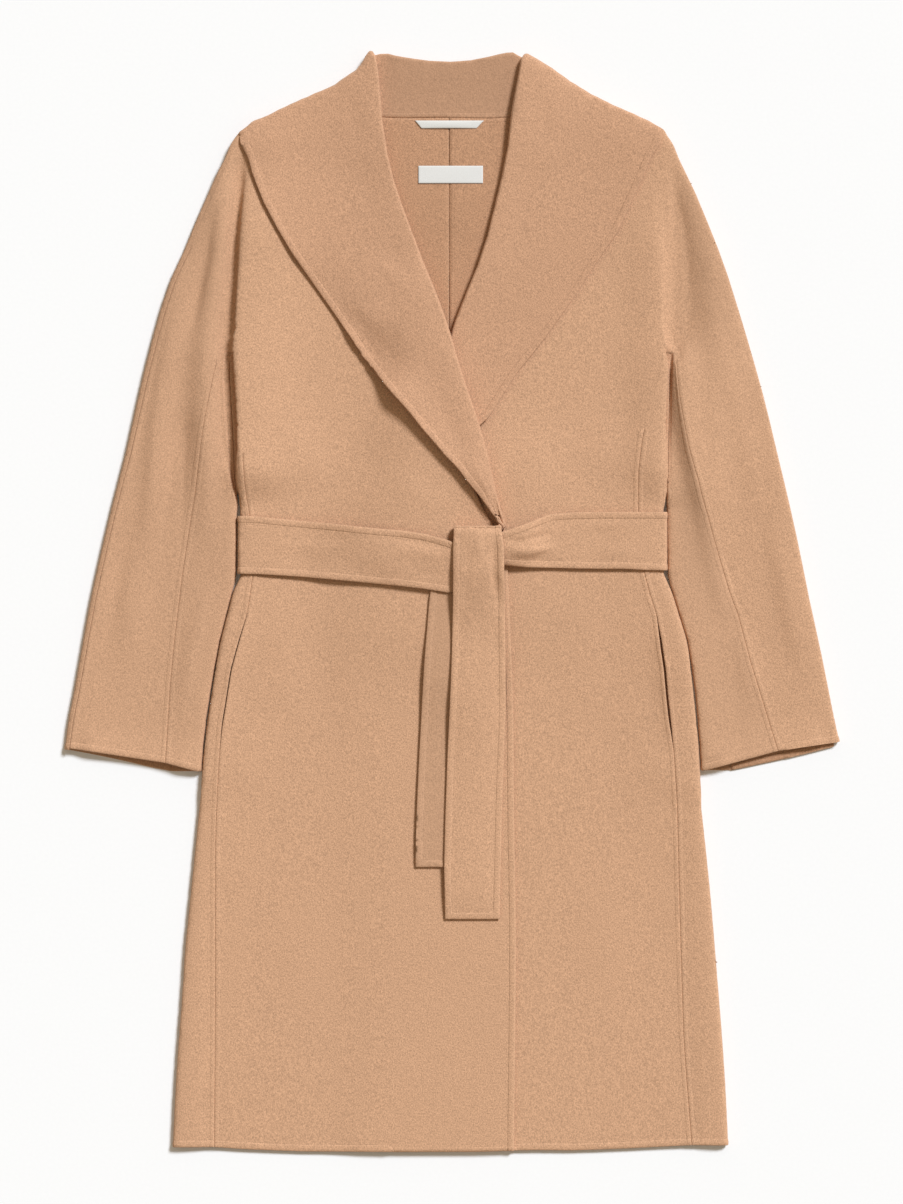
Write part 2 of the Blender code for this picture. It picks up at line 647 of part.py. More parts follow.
def straight(a, b):
    return [a + (b - a) * t for t in np.linspace(0, 1, EDGE_CELLS + 1)]


def unit(v):
    return v / np.linalg.norm(v)


def lapel_rows(side):
    """Sections of a lapel from its low end to the corner of the roll."""
    roll = lapel_curve(side, "roll")
    edge = lapel_curve(side, "edge")
    seam = shift(lapel_curve(side, "seam"), SEAM_GAP / 2 * SIGN[side])
    ahead = np.gradient(roll, axis=0)
    made = []
    for k in range(len(roll)):
        out = unit(np.array([ahead[k][1], -ahead[k][0]])) * -SIGN[side]
        start = roll[k] - out * FOLD_INSET
        tip = edge[k]
        if np.linalg.norm(tip - start) < 1.5 * LOW_END:
            tip = start - out * LOW_END
        made.append(collar_row(seam[k], roll[k], straight(start, tip), out))
    return made


def corner_rows(side):
    """Sections that turn round the side of the neck, from the lapel to the fall."""
    sign = SIGN[side]
    curve = outward(side, COLLAR_SIDE[side])
    path = spline(curve, 5.0)
    picks = np.linspace(0, len(path) - 1, EDGE_CELLS + 1).round().astype(int)
    path = path[picks]
    ahead = unit(path[-1] - path[0])
    normal = np.array([-ahead[1], ahead[0]])
    normal *= np.sign(normal[1])
    neck = NECK_SEAM
    k = 0 if side == "right" else -1
    seam = np.array([neck["x"][k], neck["y"][k] + SEAM_GAP])
    fold = unit(path[0] - seam)
    seam_normal = np.array([-fold[1], fold[0]])
    seam_normal *= np.sign(seam_normal[0]) * sign
    seam -= (sign * CORNER_INSET[0], CORNER_INSET[1])
    out = unit(np.array([-sign, 1.0]))
    radius = np.linspace(SIDE_RADIUS + CORNER_SPARE, SIDE_RADIUS, EDGE_CELLS + 1)[:, None]
    base = path - normal * (radius + CLOTH / 2)
    base[0] = path[0] - out * FOLD_INSET - normal * radius[0]
    rows = []
    for angle in (90, *CORNER, -90):
        swing = math.cos(math.radians(angle))
        outer = base + normal * radius * swing
        inner = seam_normal * STAND_RADIUS * swing
        start = base[0] + inner
        root = seam + inner
        sewn = [root + (start - root) * t for t in np.linspace(0, 1, SEAM_CELLS + 1)]
        turn = []
        for a in TURN:
            mix = (1 - math.cos(math.radians(a))) / 2
            stand_off = out * CORNER_TURN * math.sin(math.radians(a))
            turn.append(start + (outer[0] - start) * mix + stand_off)
        rows.append([*sewn, *turn, *outer])
    return rows


def back_rows():
    rows = COLLAR_BACK
    seam = np.column_stack([rows["seam_x"], neck_y(rows["seam_x"]) + SEAM_GAP / 2])
    roll = np.column_stack([rows["roll_x"], rows["roll_y"]])
    edge = np.column_stack([rows["edge_x"], rows["edge_y"]])
    made = []
    for k in range(len(roll)):
        lean = (k - (len(roll) - 1) / 2) / (len(roll) - 1)
        out = unit(np.array([lean * 0.5, 1.0]))
        start = roll[k] - out * FOLD_INSET
        made.append(collar_row(seam[k], roll[k], straight(start, edge[k]), out))
    return made


def collar():
    """The whole collar, from the right lapel's low end round the neck to the left's."""
    right = lapel_rows("right")
    left = lapel_rows("left")[::-1]
    right_corner = corner_rows("right")
    left_corner = corner_rows("left")[::-1]
    back = back_rows()
    groups = [("lapel_right", right + right_corner[:1]), ("corner_right", right_corner[1:-1]),
              ("back", right_corner[-1:] + back + left_corner[:1]),
              ("corner_left", left_corner[1:-1]), ("lapel_left", left_corner[-1:] + left)]
    rows = []
    spans = {}
    for name, part in groups:
        spans[name] = range(len(rows), len(rows) + len(part))
        rows += part
    sheet = ladder("shawl_collar", rows)
    sheet.spans = spans
    return sheet


def collar_ids(sheet, group, first, last):
    return np.array([i * COLLAR_WIDTH + k for i in sheet.spans[group] for k in range(first, last)])


SEWN = (0, SEAM_CELLS + 1)
OUTER = (SEAM_CELLS + 1 + len(TURN), COLLAR_WIDTH)


def turn_collar(sheet):
    """Heights of the roll and of the corner sections, between those already laid."""
    z = sheet.points[:, 2].reshape(-1, COLLAR_WIDTH)
    for group in ("corner_right", "corner_left"):
        span = sheet.spans[group]
        low, high = span[0] - 1, span[-1] + 1
        angles = CORNER if group == "corner_right" else CORNER[::-1]
        for i, angle in zip(span, angles):
            upper = (1 + math.sin(math.radians(angle))) / 2
            first = upper if group == "corner_right" else 1 - upper
            z[i] = z[low] * first + z[high] * (1 - first)
    for i in range(len(z)):
        start, end = z[i, SEAM_CELLS], z[i, OUTER[0]]
        for k, a in enumerate(TURN):
            z[i, SEAM_CELLS + 1 + k] = start + (end - start) * (1 - math.cos(math.radians(a))) / 2
    sheet.points[:, 2] = z.reshape(-1)


# --- the belt and trims ------------------------------------------------------
BELT_COLUMNS = 4
BELT_STEP = 24.0
BELT_TURN = (45, 90, 135)
BELT_BACK_CELLS = 8
TAIL_BEHIND = table("left right", (3, 49))      # the over tail's width behind the belt
TAIL_TOP = table("left right", (3, 50.5))       # and where it turns over
FACING_THICK = 1.6


def strip_row(a, b):
    """Plan points across a strip, from a to b."""
    a, b = np.array(a), np.array(b)
    return [a + (b - a) * t for t in np.linspace(0, 1, BELT_COLUMNS)]


def belt_half(side):
    """Half of the belt: over the front, round the side, and under the back."""
    sign = SIGN[side]
    front = BELT_FRONT[side]
    fold = BELT_EDGE[side] - FOLD_INSET
    xs = np.append(np.arange(front["x"][0], fold - BELT_STEP / 3, BELT_STEP), fold)
    rows = []
    for x in xs:
        top = np.interp(x, front["x"], front["top"])
        bottom = np.interp(x, front["x"], front["bottom"])
        rows.append(strip_row((sign * x, bottom), (sign * x, top)))
    turned = [fold + FOLD_RADIUS * math.sin(math.radians(a)) for a in (*BELT_TURN, 180)]
    behind = np.linspace(fold, CENTRE_BACK_X * sign + SEAM_GAP / 2, BELT_BACK_CELLS + 1)[1:]
    for x in (*turned, *behind):
        rows.append(strip_row((sign * x, bottom), (sign * x, top)))
    sheet = ladder("belt_%s_half" % side, rows)
    first_behind = len(xs) + len(BELT_TURN)
    sheet.front_rows = range(len(xs))
    sheet.turn_rows = range(len(xs), first_behind)
    sheet.back_rows = range(first_behind, len(rows))
    return sheet


def row_ids(rows, width):
    return np.array([i * width + k for i in rows for k in range(width)])


def turn_strip(sheet, start, end):
    """Heights of a strip's fold, between the rows on either side of it."""
    z = sheet.points[:, 2].reshape(-1, BELT_COLUMNS)
    for i, a in zip(sheet.turn_rows, BELT_TURN):
        z[i] = z[start] + (z[end] - z[start]) * (1 - math.cos(math.radians(a))) / 2
    sheet.points[:, 2] = z.reshape(-1)


def tail_rows(edges, start, count):
    """Sections of a hanging tail between the y start and its end."""
    rows = []
    for y in np.linspace(start, edges["y"][-1], count):
        left = np.interp(-y, -edges["y"], edges["left"])
        right = np.interp(-y, -edges["y"], edges["right"])
        rows.append(strip_row((left, y), (right, y)))
    return rows


def tail_over():
    """The tail that comes up behind the belt, over its top edge and down the front."""
    rows = []
    fold = KNOT_TOP - FOLD_INSET
    for y in np.linspace(fold - KNOT_TUCK, fold, 3):
        rows.append(strip_row((TAIL_BEHIND["left"][0], y), (TAIL_BEHIND["right"][0], y)))
    first_turned = len(rows)
    for a in (*BELT_TURN, 180):
        y = fold + FOLD_RADIUS * math.sin(math.radians(a))
        rows.append(strip_row((TAIL_TOP["left"][0], y), (TAIL_TOP["right"][0], y)))
    first_front = first_turned + len(BELT_TURN)
    rows += tail_rows(TAIL_OVER, TAIL_OVER["y"][0] - 10, 15)
    sheet = ladder("belt_tail_over", rows)
    sheet.back_rows = range(first_turned)
    sheet.turn_rows = range(first_turned, first_front)
    sheet.front_rows = range(first_front, len(rows))
    return sheet


def tail_under():
    return ladder("belt_tail_under", tail_rows(TAIL_UNDER, TAIL_UNDER["y"][0], 12))


def patch(name, box, cells, **options):
    left, right = box["left"][0], box["right"][0]
    low, high = box["bottom"][0], box["top"][0]
    rows = [[(x, y) for y in (low, high)] for x in np.linspace(left, right, cells + 1)]
    return ladder(name, rows, colour=WOVEN, thickness=TRIM, **options)


def pocket_facing(side):
    rows = []
    for y in np.linspace(*POCKET[side], 7):
        x = float(across(SIDE_SEAM[side], np.array([y]))[0])
        rows.append([(SIGN[side] * (x + d), y) for d in (-FACING_WIDTH * 0.6, 0, FACING_WIDTH * 0.4)])
    return ladder("pocket_facing_" + side, rows, thickness=FACING_THICK)


# --- laying the coat ---------------------------------------------------------
def fold_lines(side):
    body = spline(outward(side, BODY_EDGE[side])[1:], CURVE_SPACING)
    inner = spline(outward(side, SLEEVE_INNER_EDGE[side])[1:], CURVE_SPACING)
    outer = spline(outward(side, OUTER_EDGE[side]), CURVE_SPACING)
    return body, inner, outer


def fold_rise(points):
    """How far the soft folds hold the upper cloth up at each plan point."""
    rise = np.zeros(len(points))
    for side in SIGN:
        for curve in fold_lines(side):
            d = distance_to(points, curve) - FOLD_INSET
            rise = np.maximum(rise, smooth_step(1 - d / FOLD_REACH))
    return FOLD_RISE * rise


def lay_wrapped(sheet, pile):
    """Lays a wrapped panel's top run, and its foot in the valley by the underarm."""
    top = columns(sheet, WRAP_WIDTH, 0, 1, 2)
    sheet.lay(pile, top, fold_rise(sheet.points[top, :2]))
    rows = sheet.points.reshape(-1, WRAP_WIDTH, 3)[:, :3]
    level_with_seam(rows, rows[:, :, 2].max(1))
    sheet.lay(pile, np.array([i * WRAP_WIDTH + k for i in range(len(VALLEY_Y)) for k in (6, 7)]))
    return top


def level_with_seam(rows, height):
    """Brings the narrow parts of a top run to one height across the coat."""
    run = np.linalg.norm(rows[:, 2, :2] - rows[:, 0, :2], axis=1)
    near = np.clip(1.5 - run / (PANEL_SPACING / 2), 0, 1)[:, None]
    rows[:, :, 2] += (height[:, None] - rows[:, :, 2]) * near


def turn_wrapped(sheet):
    """Carries the seam's height into the top run, and turns the fold."""
    points = sheet.points.reshape(-1, WRAP_WIDTH, 3)
    level_with_seam(points[:, :3], points[:, 0, 2])
    for i in range(len(points)):
        low = points[i, 7, 2]
        climb = DROP_CLIMB if i == len(VALLEY_Y) else WRAP_CLIMB
        for k, share in climb.items():
            points[i, k, 2] = low + (points[i, 2, 2] - low) * share


def match_seams(sheets):
    """Brings the points that meet across a seam to the higher one's height."""
    for i, first in enumerate(sheets):
        for second in sheets[i + 1:]:
            for n, point in enumerate(first.points):
                apart = np.linalg.norm(second.points[:, :2] - point[:2], axis=1)
                apart[~(np.abs(second.points[:, 2] - point[2]) < SAME_LAYER)] = np.inf
                near = int(np.argmin(apart))
                if apart[near] < SEAM_REACH:
                    top = max(point[2], second.points[near, 2])
                    first.points[n, 2] = second.points[near, 2] = top


def wrapped_under(sheet):
    """The points of a wrapped panel's run underneath."""
    return columns(sheet, WRAP_WIDTH, 6, 7)[2 * len(VALLEY_Y):]


def crown_rise(points, roll, reach):
    """How far the collar's roll holds the cloth next to it up."""
    return FOLD_RISE * smooth_step(1 - (distance_to(points, roll) - FOLD_INSET) / reach)


def lapel_lift(sheet, ids, side):
    """How far the lapel's outer edge stands off the front."""
    width = OUTER[1] - OUTER[0]
    outward_share = (np.arange(len(ids)) % width) / (width - 1)
    y = sheet.points[ids, 1]
    top, bottom = LIFT_TOP, LIFT_BOTTOM
    along = smooth_step((top[0] - y) / top[1]) * smooth_step((y - bottom[0]) / bottom[1])
    return LAPEL_LIFT[side] * along * outward_share


def lay_backs(pile, shawl, belts, backs, panels, sleeves):
    """Lays what rests on the surface, and the inside of the back on it."""
    fall = collar_ids(shawl, "back", *OUTER)
    shawl.lay(pile, fall)
    shawl.settle(pile, fall)
    for belt in belts.values():
        behind = row_ids(belt.back_rows, BELT_COLUMNS)
        belt.lay(pile, behind)
        belt.settle(pile, behind)
    layer = []
    for side in SIGN:
        back = backs[side]
        layer.append((back, np.where(np.isnan(back.points[:, 2]))[0]))
        layer.append((panels[side], wrapped_under(panels[side])))
        layer.append((sleeves[side], wrapped_under(sleeves[side])))
    stand = collar_ids(shawl, "back", *SEWN)
    layer.append((shawl, stand))
    for sheet, ids in layer:
        sheet.lay(pile, ids)
    roll = np.column_stack([COLLAR_BACK["roll_x"], COLLAR_BACK["roll_y"]])
    roll = spline(roll, CURVE_SPACING)
    shawl.points[stand, 2] += crown_rise(shawl.points[stand, :2], roll, STAND_REACH)
    match_seams([sheet for sheet, ids in layer])
    for sheet, ids in layer:
        sheet.settle(pile, ids)
    finish_roll(backs["right"])


def lay_front(side, pile, shawl, front, side_cloth, sleeve_cloth):
    """Lays one front with its side panel, under sleeve and lapel."""
    flat = np.where(np.isnan(front.points[:, 2]))[0]
    leg = collar_ids(shawl, "lapel_" + side, *SEWN)
    front.lay(pile, flat, fold_rise(front.points[flat, :2]))
    top_side = lay_wrapped(side_cloth, pile)
    top_sleeve = lay_wrapped(sleeve_cloth, pile)
    shawl.lay(pile, leg)
    match_seams([front, side_cloth, sleeve_cloth])
    match_seams([front, shawl])
    turn_wrapped(side_cloth)
    turn_wrapped(sleeve_cloth)
    laid = ((front, flat), (side_cloth, top_side), (sleeve_cloth, top_sleeve), (shawl, leg))
    for sheet, ids in laid:
        sheet.settle(pile, ids)
    outer = collar_ids(shawl, "lapel_" + side, *OUTER)
    corner = outward(side, COLLAR_SIDE[side])[:1]
    roll = spline(np.vstack([lapel_curve(side, "roll"), corner]), CURVE_SPACING)
    rise = crown_rise(shawl.points[outer, :2], roll, LAPEL_REACH)
    shawl.lay(pile, outer, rise + lapel_lift(shawl, outer, side))
    shawl.settle(pile, outer)


def lay_belt(pile, belts, over_tail, under_tail):
    """Lays the hanging tail, the belt's fronts over it, and the tail that crosses them."""
    tuck = row_ids(over_tail.back_rows, BELT_COLUMNS)
    under_tail.lay(pile)
    under_tail.settle(pile, np.arange(len(under_tail.points)))
    over_tail.lay(pile, tuck)
    over_tail.settle(pile, tuck)
    for belt in belts.values():
        belt.lay(pile, row_ids(belt.front_rows, BELT_COLUMNS))
    for belt in belts.values():
        belt.settle(pile, row_ids(belt.front_rows, BELT_COLUMNS))
        turn_strip(belt, belt.front_rows[-1], belt.back_rows[0])
    over_tail.lay(pile, row_ids(over_tail.front_rows, BELT_COLUMNS))
    turn_strip(over_tail, over_tail.back_rows[-1], over_tail.front_rows[0])


def build():
    for obj in list(bpy.data.objects):
        bpy.data.objects.remove(obj)
    pile = Pile()
    shawl = collar()
    makers = (belt_half, back_panel, front_panel, side_panel, under_sleeve, pocket_facing)
    groups = [{side: make(side) for side in SIGN} for make in makers]
    belts, backs, fronts, panels, sleeves, facings = groups
    lay_backs(pile, shawl, belts, backs, panels, sleeves)
    strip = patch("hanger_strip", STRIP, 4)
    label = patch("neck_label", LABEL, 4)
    for trim in (strip, label):
        trim.lay(pile, gap=SEAM_GAP)
    for facing in facings.values():
        facing.lay(pile)
        facing.settle(pile, np.arange(len(facing.points)))
    for side in ("left", "right"):
        lay_front(side, pile, shawl, fronts[side], panels[side], sleeves[side])
    finish_roll(fronts["left"])
    turn_collar(shawl)
    under_tail, over_tail = tail_under(), tail_over()
    lay_belt(pile, belts, over_tail, under_tail)
    sheets = [shawl, strip, label, under_tail, over_tail]
    for group in groups:
        sheets += group.values()
    for sheet in sheets:
        wall(sheet)


build()
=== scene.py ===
"""Wool wrap coat laid flat on a pale floor, seen from straight above.

The visual pieces follow the CAD solids: each solid's outer side is taken as a sheet,
refined and smoothed, given its folds, turned edges and seams, and made a thin wall.
Plan sizes are in millimetres: x across the coat, y from hem to collar, z up.
"""
import math

import bmesh
import bpy
import numpy as np
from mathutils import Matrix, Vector
from mathutils.kdtree import KDTree


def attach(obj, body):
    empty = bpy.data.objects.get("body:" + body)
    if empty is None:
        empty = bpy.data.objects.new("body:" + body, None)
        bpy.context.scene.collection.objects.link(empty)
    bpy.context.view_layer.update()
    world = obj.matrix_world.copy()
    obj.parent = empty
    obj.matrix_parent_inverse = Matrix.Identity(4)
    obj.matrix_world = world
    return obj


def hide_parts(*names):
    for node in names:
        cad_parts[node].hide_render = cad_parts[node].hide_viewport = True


MM = 0.001

# --- sizes -------------------------------------------------------------------
CLOTH = 2.1               # visible thickness of the double-face wool
SOLID_CLOTH = 2.4         # and of the solids' walls
FACING_CLOTH = 1.2        # the same two for the pocket facings
SOLID_FACING = 1.6
TRIM = 0.7                # thickness of the strip and the label
TRIM_GAP = 0.15           # between them and the cloth
WELD = 2e-6               # metres
WALL_SLIP = 1.2e-6        # metres; a solid's rim edges are as long as its wall is thick
RIM_ANGLE = 0.9           # radians; the rim turns at least this sharply
SIDE_ANGLE = math.radians(60)
LARGER_SIDE = 1.004       # the outer side of a fold is larger than its inner side
EDGE_BAND = 9.5           # strip along every edge with the finest mesh
CREASE_BAND = 7.0         # and along the narrow folds
EDGE_CELL = 2.6
OPEN_CELL = 8.0
CELL_GROWTH = 0.22
SPLIT_AT = 1.45           # edges are split when they are this many cells long
FLAT_ANGLE = 0.06         # radians; edges flatter than this may be turned in the mesh
LEVEL = 0.97              # and only where the cloth is as level as this
CORNER = 0.84             # cosine of the turn that makes a border point a corner
ROUND_OFF = (0.5, -0.52) * 3  # steps of smoothing that don't shrink a fold
OPEN_ROUNDS = 26          # of smoothing the large panels' heights
WRAPPED_ROUNDS = 3        # and those of the panels with a fold in them,
HEIGHT_STEP = 0.6         # each by this share,
SMOOTH_LEVEL = 0.80       # where the cloth is more level than this,
SMOOTH_OVER = 0.16        # and fully where it is more level by this much
SHORTEST = 0.3            # a shorter edge weighs no more than this one
TURNED_OVER = 0.5         # triangles that agree less than this with their neighbours,
SLIVER = 0.05             # or are smaller than this, in square millimetres, are unfolded
HIDDEN_FACTOR = 1.7       # the backs and the pocket facings are coarser
TURNED = 6.6              # the turned-in edge: its stitch line lies this far in,
TURNED_RISE = 0.42        # and the cloth is this much thicker out to it
TURNED_BAND = (2.6, 3.4)  # where that thickness starts to fade, and over what width
TURNED_SINK = (1.6, 2.4, 0.4)  # the stitch line's place, width and share of the rise
SEAM_TURNED = 4.4         # the same for the edges turned in at a seam
SEAM_RISE = 0.18
SEAM_RIDGE = 0.35         # the cloth stands up this much where it is sewn
RIDGE_WIDTH = 2.3
RELIEF_REACH = 30.0       # no relief farther than this from a border
SEAM_NEAR = 1.6           # borders this close to another piece are seams
FAR = 60.0                # distances to borders are kept up to this
RIM_TUCK = 0.32           # how far a wall's border is rounded, in shares of its thickness
RIM_PARTS = (0.55, 0.45)  # of it inward, and into the thickness
RIM_DEPTHS = (0.32, 0.68)
FACING_UP = (0.5, 0.3)    # single pieces' folds are on the side that faces up
PAIR_CELL = 0.4           # spacing of the samples that borders are paired by


def table(columns, *rows):
    """Rows of numbers with named columns."""
    return dict(zip(columns.split(), np.array(rows, float).T))


def fold(left, right, rise, fade, *line):
    """A soft fold: the widths of its flanks on the left and right of its line in plan when
    walked along, its height (a trough's is negative), the share of it that fades at its
    start and end, and the line's points."""
    return dict(left=left, right=right, rise=rise, fade=fade, line=line)


# --- soft folds --------------------------------------------------------------
FOLDS = (
    # wearer's right (left in the view): the body's edge, the groove above it, the sleeve
    fold(46, 12, 10.5, (0.25, 0.12), (-196, 445), (-199, 400), (-203, 350), (-206, 300), (-208, 250),
         (-207.5, 200), (-207, 150), (-206, 112), (-204, 92)),
    fold(5, 7.5, -6.0, (0.15, 0.12), (-207, 462), (-210, 430), (-213.5, 390), (-216, 345), (-219, 300),
         (-221.5, 262), (-223, 240), (-223.5, 215), (-222, 180), (-220, 150), (-219, 118)),
    fold(12, 15, 6.0, (0.22, 0.3), (-222, 440), (-228, 390), (-233, 345), (-239, 300), (-245, 262),
         (-247, 210), (-246, 150), (-247, 95), (-250, 40)),
    fold(5, 7, -2.8, 0.4, (-235, 405), (-243, 350), (-253, 300), (-264, 245)),
    fold(15, 9, 4.2, 0.35, (-258, 370), (-272, 300), (-290, 210), (-300, 120), (-309, 20)),
    fold(9, 7, -2.4, 0.4, (-262, 210), (-270, 150), (-279, 90), (-286, 30)),
    fold(13, 20, 2.4, 0.5, (-300, 60), (-318, -20), (-331, -90)),
    fold(8, 9, -1.8, 0.45, (-318, 95), (-333, 20), (-345, -60)),
    fold(8, 11, 1.8, 0.4, (-243, 30), (-252, -20), (-264, -70), (-272, -125)),
    # wearer's left
    fold(11, 28, 5.0, (0.3, 0.12), (196, 440), (201, 390), (206, 340), (208, 290), (208, 240), (206, 190),
         (205, 140), (204, 95)),
    fold(9, 5, -4.4, (0.3, 0.35), (217, 455), (222, 430), (226, 390), (229, 340), (228, 300), (225, 265),
         (222, 247), (220.5, 225), (219, 180), (218, 130)),
    fold(26, 10, 7.5, (0.2, 0.4), (221, 275), (226, 235), (234, 180), (246, 121), (256, 75), (268, 25)),
    fold(18, 15, 3.6, 0.3, (246, 430), (255, 370), (260, 310), (263, 250), (266, 190), (272, 130),
         (280, 70)),
    fold(14, 12, 2.0, 0.4, (262, 300), (282, 220), (297, 140), (312, 60)),
    fold(8, 7, -1.7, 0.45, (280, 345), (295, 275), (306, 210)),
    fold(16, 10, 2.2, 0.5, (316, 110), (331, 30), (347, -50), (358, -100)),
    fold(8, 10, 1.8, 0.4, (252, 90), (262, 40), (280, -30)),
    fold(12, 9, 1.6, 0.45, (280, -10), (296, -70), (306, -125)),
    # body beside the arms
    fold(20, 16, 1.3, 0.45, (-170, 205), (-150, 150), (-120, 112)),
    fold(16, 20, 1.3, 0.45, (165, 210), (150, 150), (125, 116)),
    fold(12, 14, 1.0, 0.4, (-60, 130), (-30, 105), (0, 92)),
    fold(14, 12, 1.0, 0.4, (90, 170), (80, 130), (60, 100)),
    # skirt below the belt
    fold(22, 16, 1.5, 0.45, (-170, 10), (-168, -60), (-176, -140)),
    fold(26, 20, 1.2, 0.5, (-95, 8), (-101, -70), (-98, -160)),
    fold(18, 26, 1.3, 0.5, (130, 22), (136, -60), (131, -150)),
    fold(30, 24, 0.9, 0.5, (-150, -250), (-154, -360), (-150, -470)),
    fold(24, 32, 0.9, 0.5, (150, -240), (156, -350), (150, -450)),
    # the cuffs stand open a little
    fold(24, 20, 3.4, 0.16, (-252, -173), (-286, -163), (-335, -156), (-378, -149)),
    fold(20, 24, 3.4, 0.16, (254, -171), (290, -161), (327, -151), (380, -142)),
)
FOLD_BASE = 2.45          # cloth below this height isn't lifted by the folds
FOLD_FULL = 5.1           # and above this one it is lifted fully
FOLD_FLOOR = 5.2          # a trough's bottom rests on the back
WRAP_FLOOR = 7.1          # or on the piece's own lower layer
VALLEY_RAISE = 2.9        # the base is this much higher by the valley of sleeve and body,
VALLEY_HALF = 9.0         # over this half width,
VALLEY_TOP = 262.0        # from here down
VALLEY_FADE = (6.0, 14.0)
NARROW = 12.0             # folds with a flank narrower than this need a finer mesh

# Folds of single pieces: the belt is gathered where it goes into the knot, and the
# lapel's edge stands off the front.
PIECE_FOLDS = {
    "belt_left_half": (
        fold(3.6, 2.6, -1.5, 0.3, (52, 60), (66, 59), (84, 63), (104, 70)),
        fold(3.2, 4.4, 1.5, 0.35, (50, 51), (64, 50), (82, 51), (110, 55)),
        fold(3.4, 3.4, -0.9, 0.4, (52, 42), (66, 41), (86, 39), (120, 38)),
        fold(4, 5, 0.6, 0.5, (120, 74), (150, 76), (190, 76)),
        fold(7, 6, 0.7, 0.5, (130, 52), (160, 48), (200, 50)),
    ),
    "belt_right_half": (
        fold(4.2, 4.6, -0.8, 0.3, (4, 52), (-14, 56), (-36, 60), (-66, 62)),
        fold(5.0, 5.0, 0.7, 0.4, (2, 43), (-16, 45), (-38, 48), (-66, 50)),
        fold(4.2, 4.0, -0.5, 0.4, (0, 26), (-20, 27), (-44, 30)),
        fold(7, 6, 0.7, 0.5, (-80, 52), (-130, 54), (-190, 56)),
    ),
    "belt_tail_over": (
        fold(3.0, 4.0, 0.7, 0.4, (8, 66), (10, 30), (8, -20)),
        fold(4.6, 3.4, -2.0, 0.35, (45, 66), (42, 48), (43, 20), (46, 0)),
        fold(5.0, 5.0, 1.2, 0.5, (26, 72), (28, 54), (27, 34)),
        fold(4.0, 4.6, -2.2, 0.05, (2, 75), (20, 76), (36, 75), (56, 73)),
    ),
    "belt_tail_under": (
        fold(6, 6, 0.8, (0.3, 0.02), (-33, -100), (-35.5, -170), (-36, -262)),
    ),
    "shawl_collar": (
        fold(17, 17, 1.4, 0.3, (-115, 280), (-82, 240), (-50, 196), (-22, 156), (8, 118), (33, 92),
             (46, 80)),
        fold(30, 22, -10.5, 0.42, (-104, 268), (-92, 252), (-80, 236), (-68, 220), (-54, 202)),
        fold(15, 15, 1.2, 0.4, (150, 330), (110, 285), (80, 245), (40, 190)),
        fold(10, 18, -3.2, (0.5, 0.01), (4, 132), (22, 112), (38, 93), (54, 72)),
    ),
}

# Where sleeve and body part: the line between them, the sleeve's edge, and how far
# that edge is drawn in.
GAP = {
    "right": table("y valley sleeve draw",
        (262, 219, 223.5, 0), (241, 220, 225.5, 1.5), (221, 221, 228, 2.6), (201, 220, 226, 2.0),
        (161, 218, 223, 1.4), (121, 217, 221.5, 2.2), (105, 215.5, 218, 3.0), (94, 214.3, 216.5, 3.2),
        (86, 214.5, 216.5, 2.2), (41, 214.5, 216, 1.7), (24, 215, 217, 2.3), (6, 220, 221, 1.7),
        (-39, 231.2, 232, 1.1), (-170, 250, 250.5, 0.8)),
    "left": table("y valley sleeve draw",
        (262, 220.5, 224, 0), (241, 220, 224, 2.6), (221, 219.7, 223.5, 3.0), (161, 218.2, 222, 3.0),
        (121, 217.5, 221, 2.8), (105, 216.5, 219, 3.1), (86, 216.5, 217.5, 1.8), (41, 217, 218, 1.5),
        (24, 217.5, 219, 2.4), (6, 223, 224, 2.0), (-39, 236.7, 237.5, 1.2), (-170, 250.5, 251, 0.7)),
}
DRAW_REACH = 55.0         # the sleeve is drawn along over this width

# The sleeve's outer edge at the collar's tip, and its move up to the tip.
TIP = dict(x=211.5, y=459.0, move_x=-3.0, move_y=11.0, reach=18.0)

# The left sleeve's front seam: the body's edge, the seam, and how far it is drawn in.
SLANT_WIDTH = 34.0
SLANT = table("y valley seam draw", (292, 222, 236, 0), (262, 221, 234, 5), (248, 220, 232.5, 6),
              (225, 220, 234.5, 6), (200, 219, 237, 5.4), (160, 218.5, 241, 3), (121, 218, 245, 0))

# The lower part of the right lapel: its roll line, where its edge is moved in, across
# the edge, and its end at the knot.
ROLL = table("y x", (270, -5), (181, 23), (127, 39), (81, 54), (60, 60))
ROLL_WIDTH = 18.0
LAPEL = table("x y inward", (-34, 176, 3.2), (-8, 140, 5.8), (16, 110, 6.2))
LAPEL_REACH = 44.0
LAPEL_ACROSS = np.array((0.76, 0.65))
LAPEL_END = dict(x=42.0, y=76.0, reach=22.0, dx=2.5, edge_dx=8.0, dy=-4.0)

# The upper layer of the collar's tip, above the height given as "above".
COVER = dict(x=205.0, y=463.0, reach=20.0, out=3.6, up=2.2, above=10.5)

# Where the seams don't show: bounds round the underarm, and the overarm line.
PLAIN = dict(top=262.0, inner=198.0, inner_left=182.0, outer=216.0, apex_low=238.0, apex_outer=236.0,
             side_low_right=146.0, side_low_left=170.0, over_low=338.0, over_fade=30.0)
OVERARM = table("y inner", (470, 196), (431, 214), (350, 240), (250, 262), (0, 310), (-170, 336))

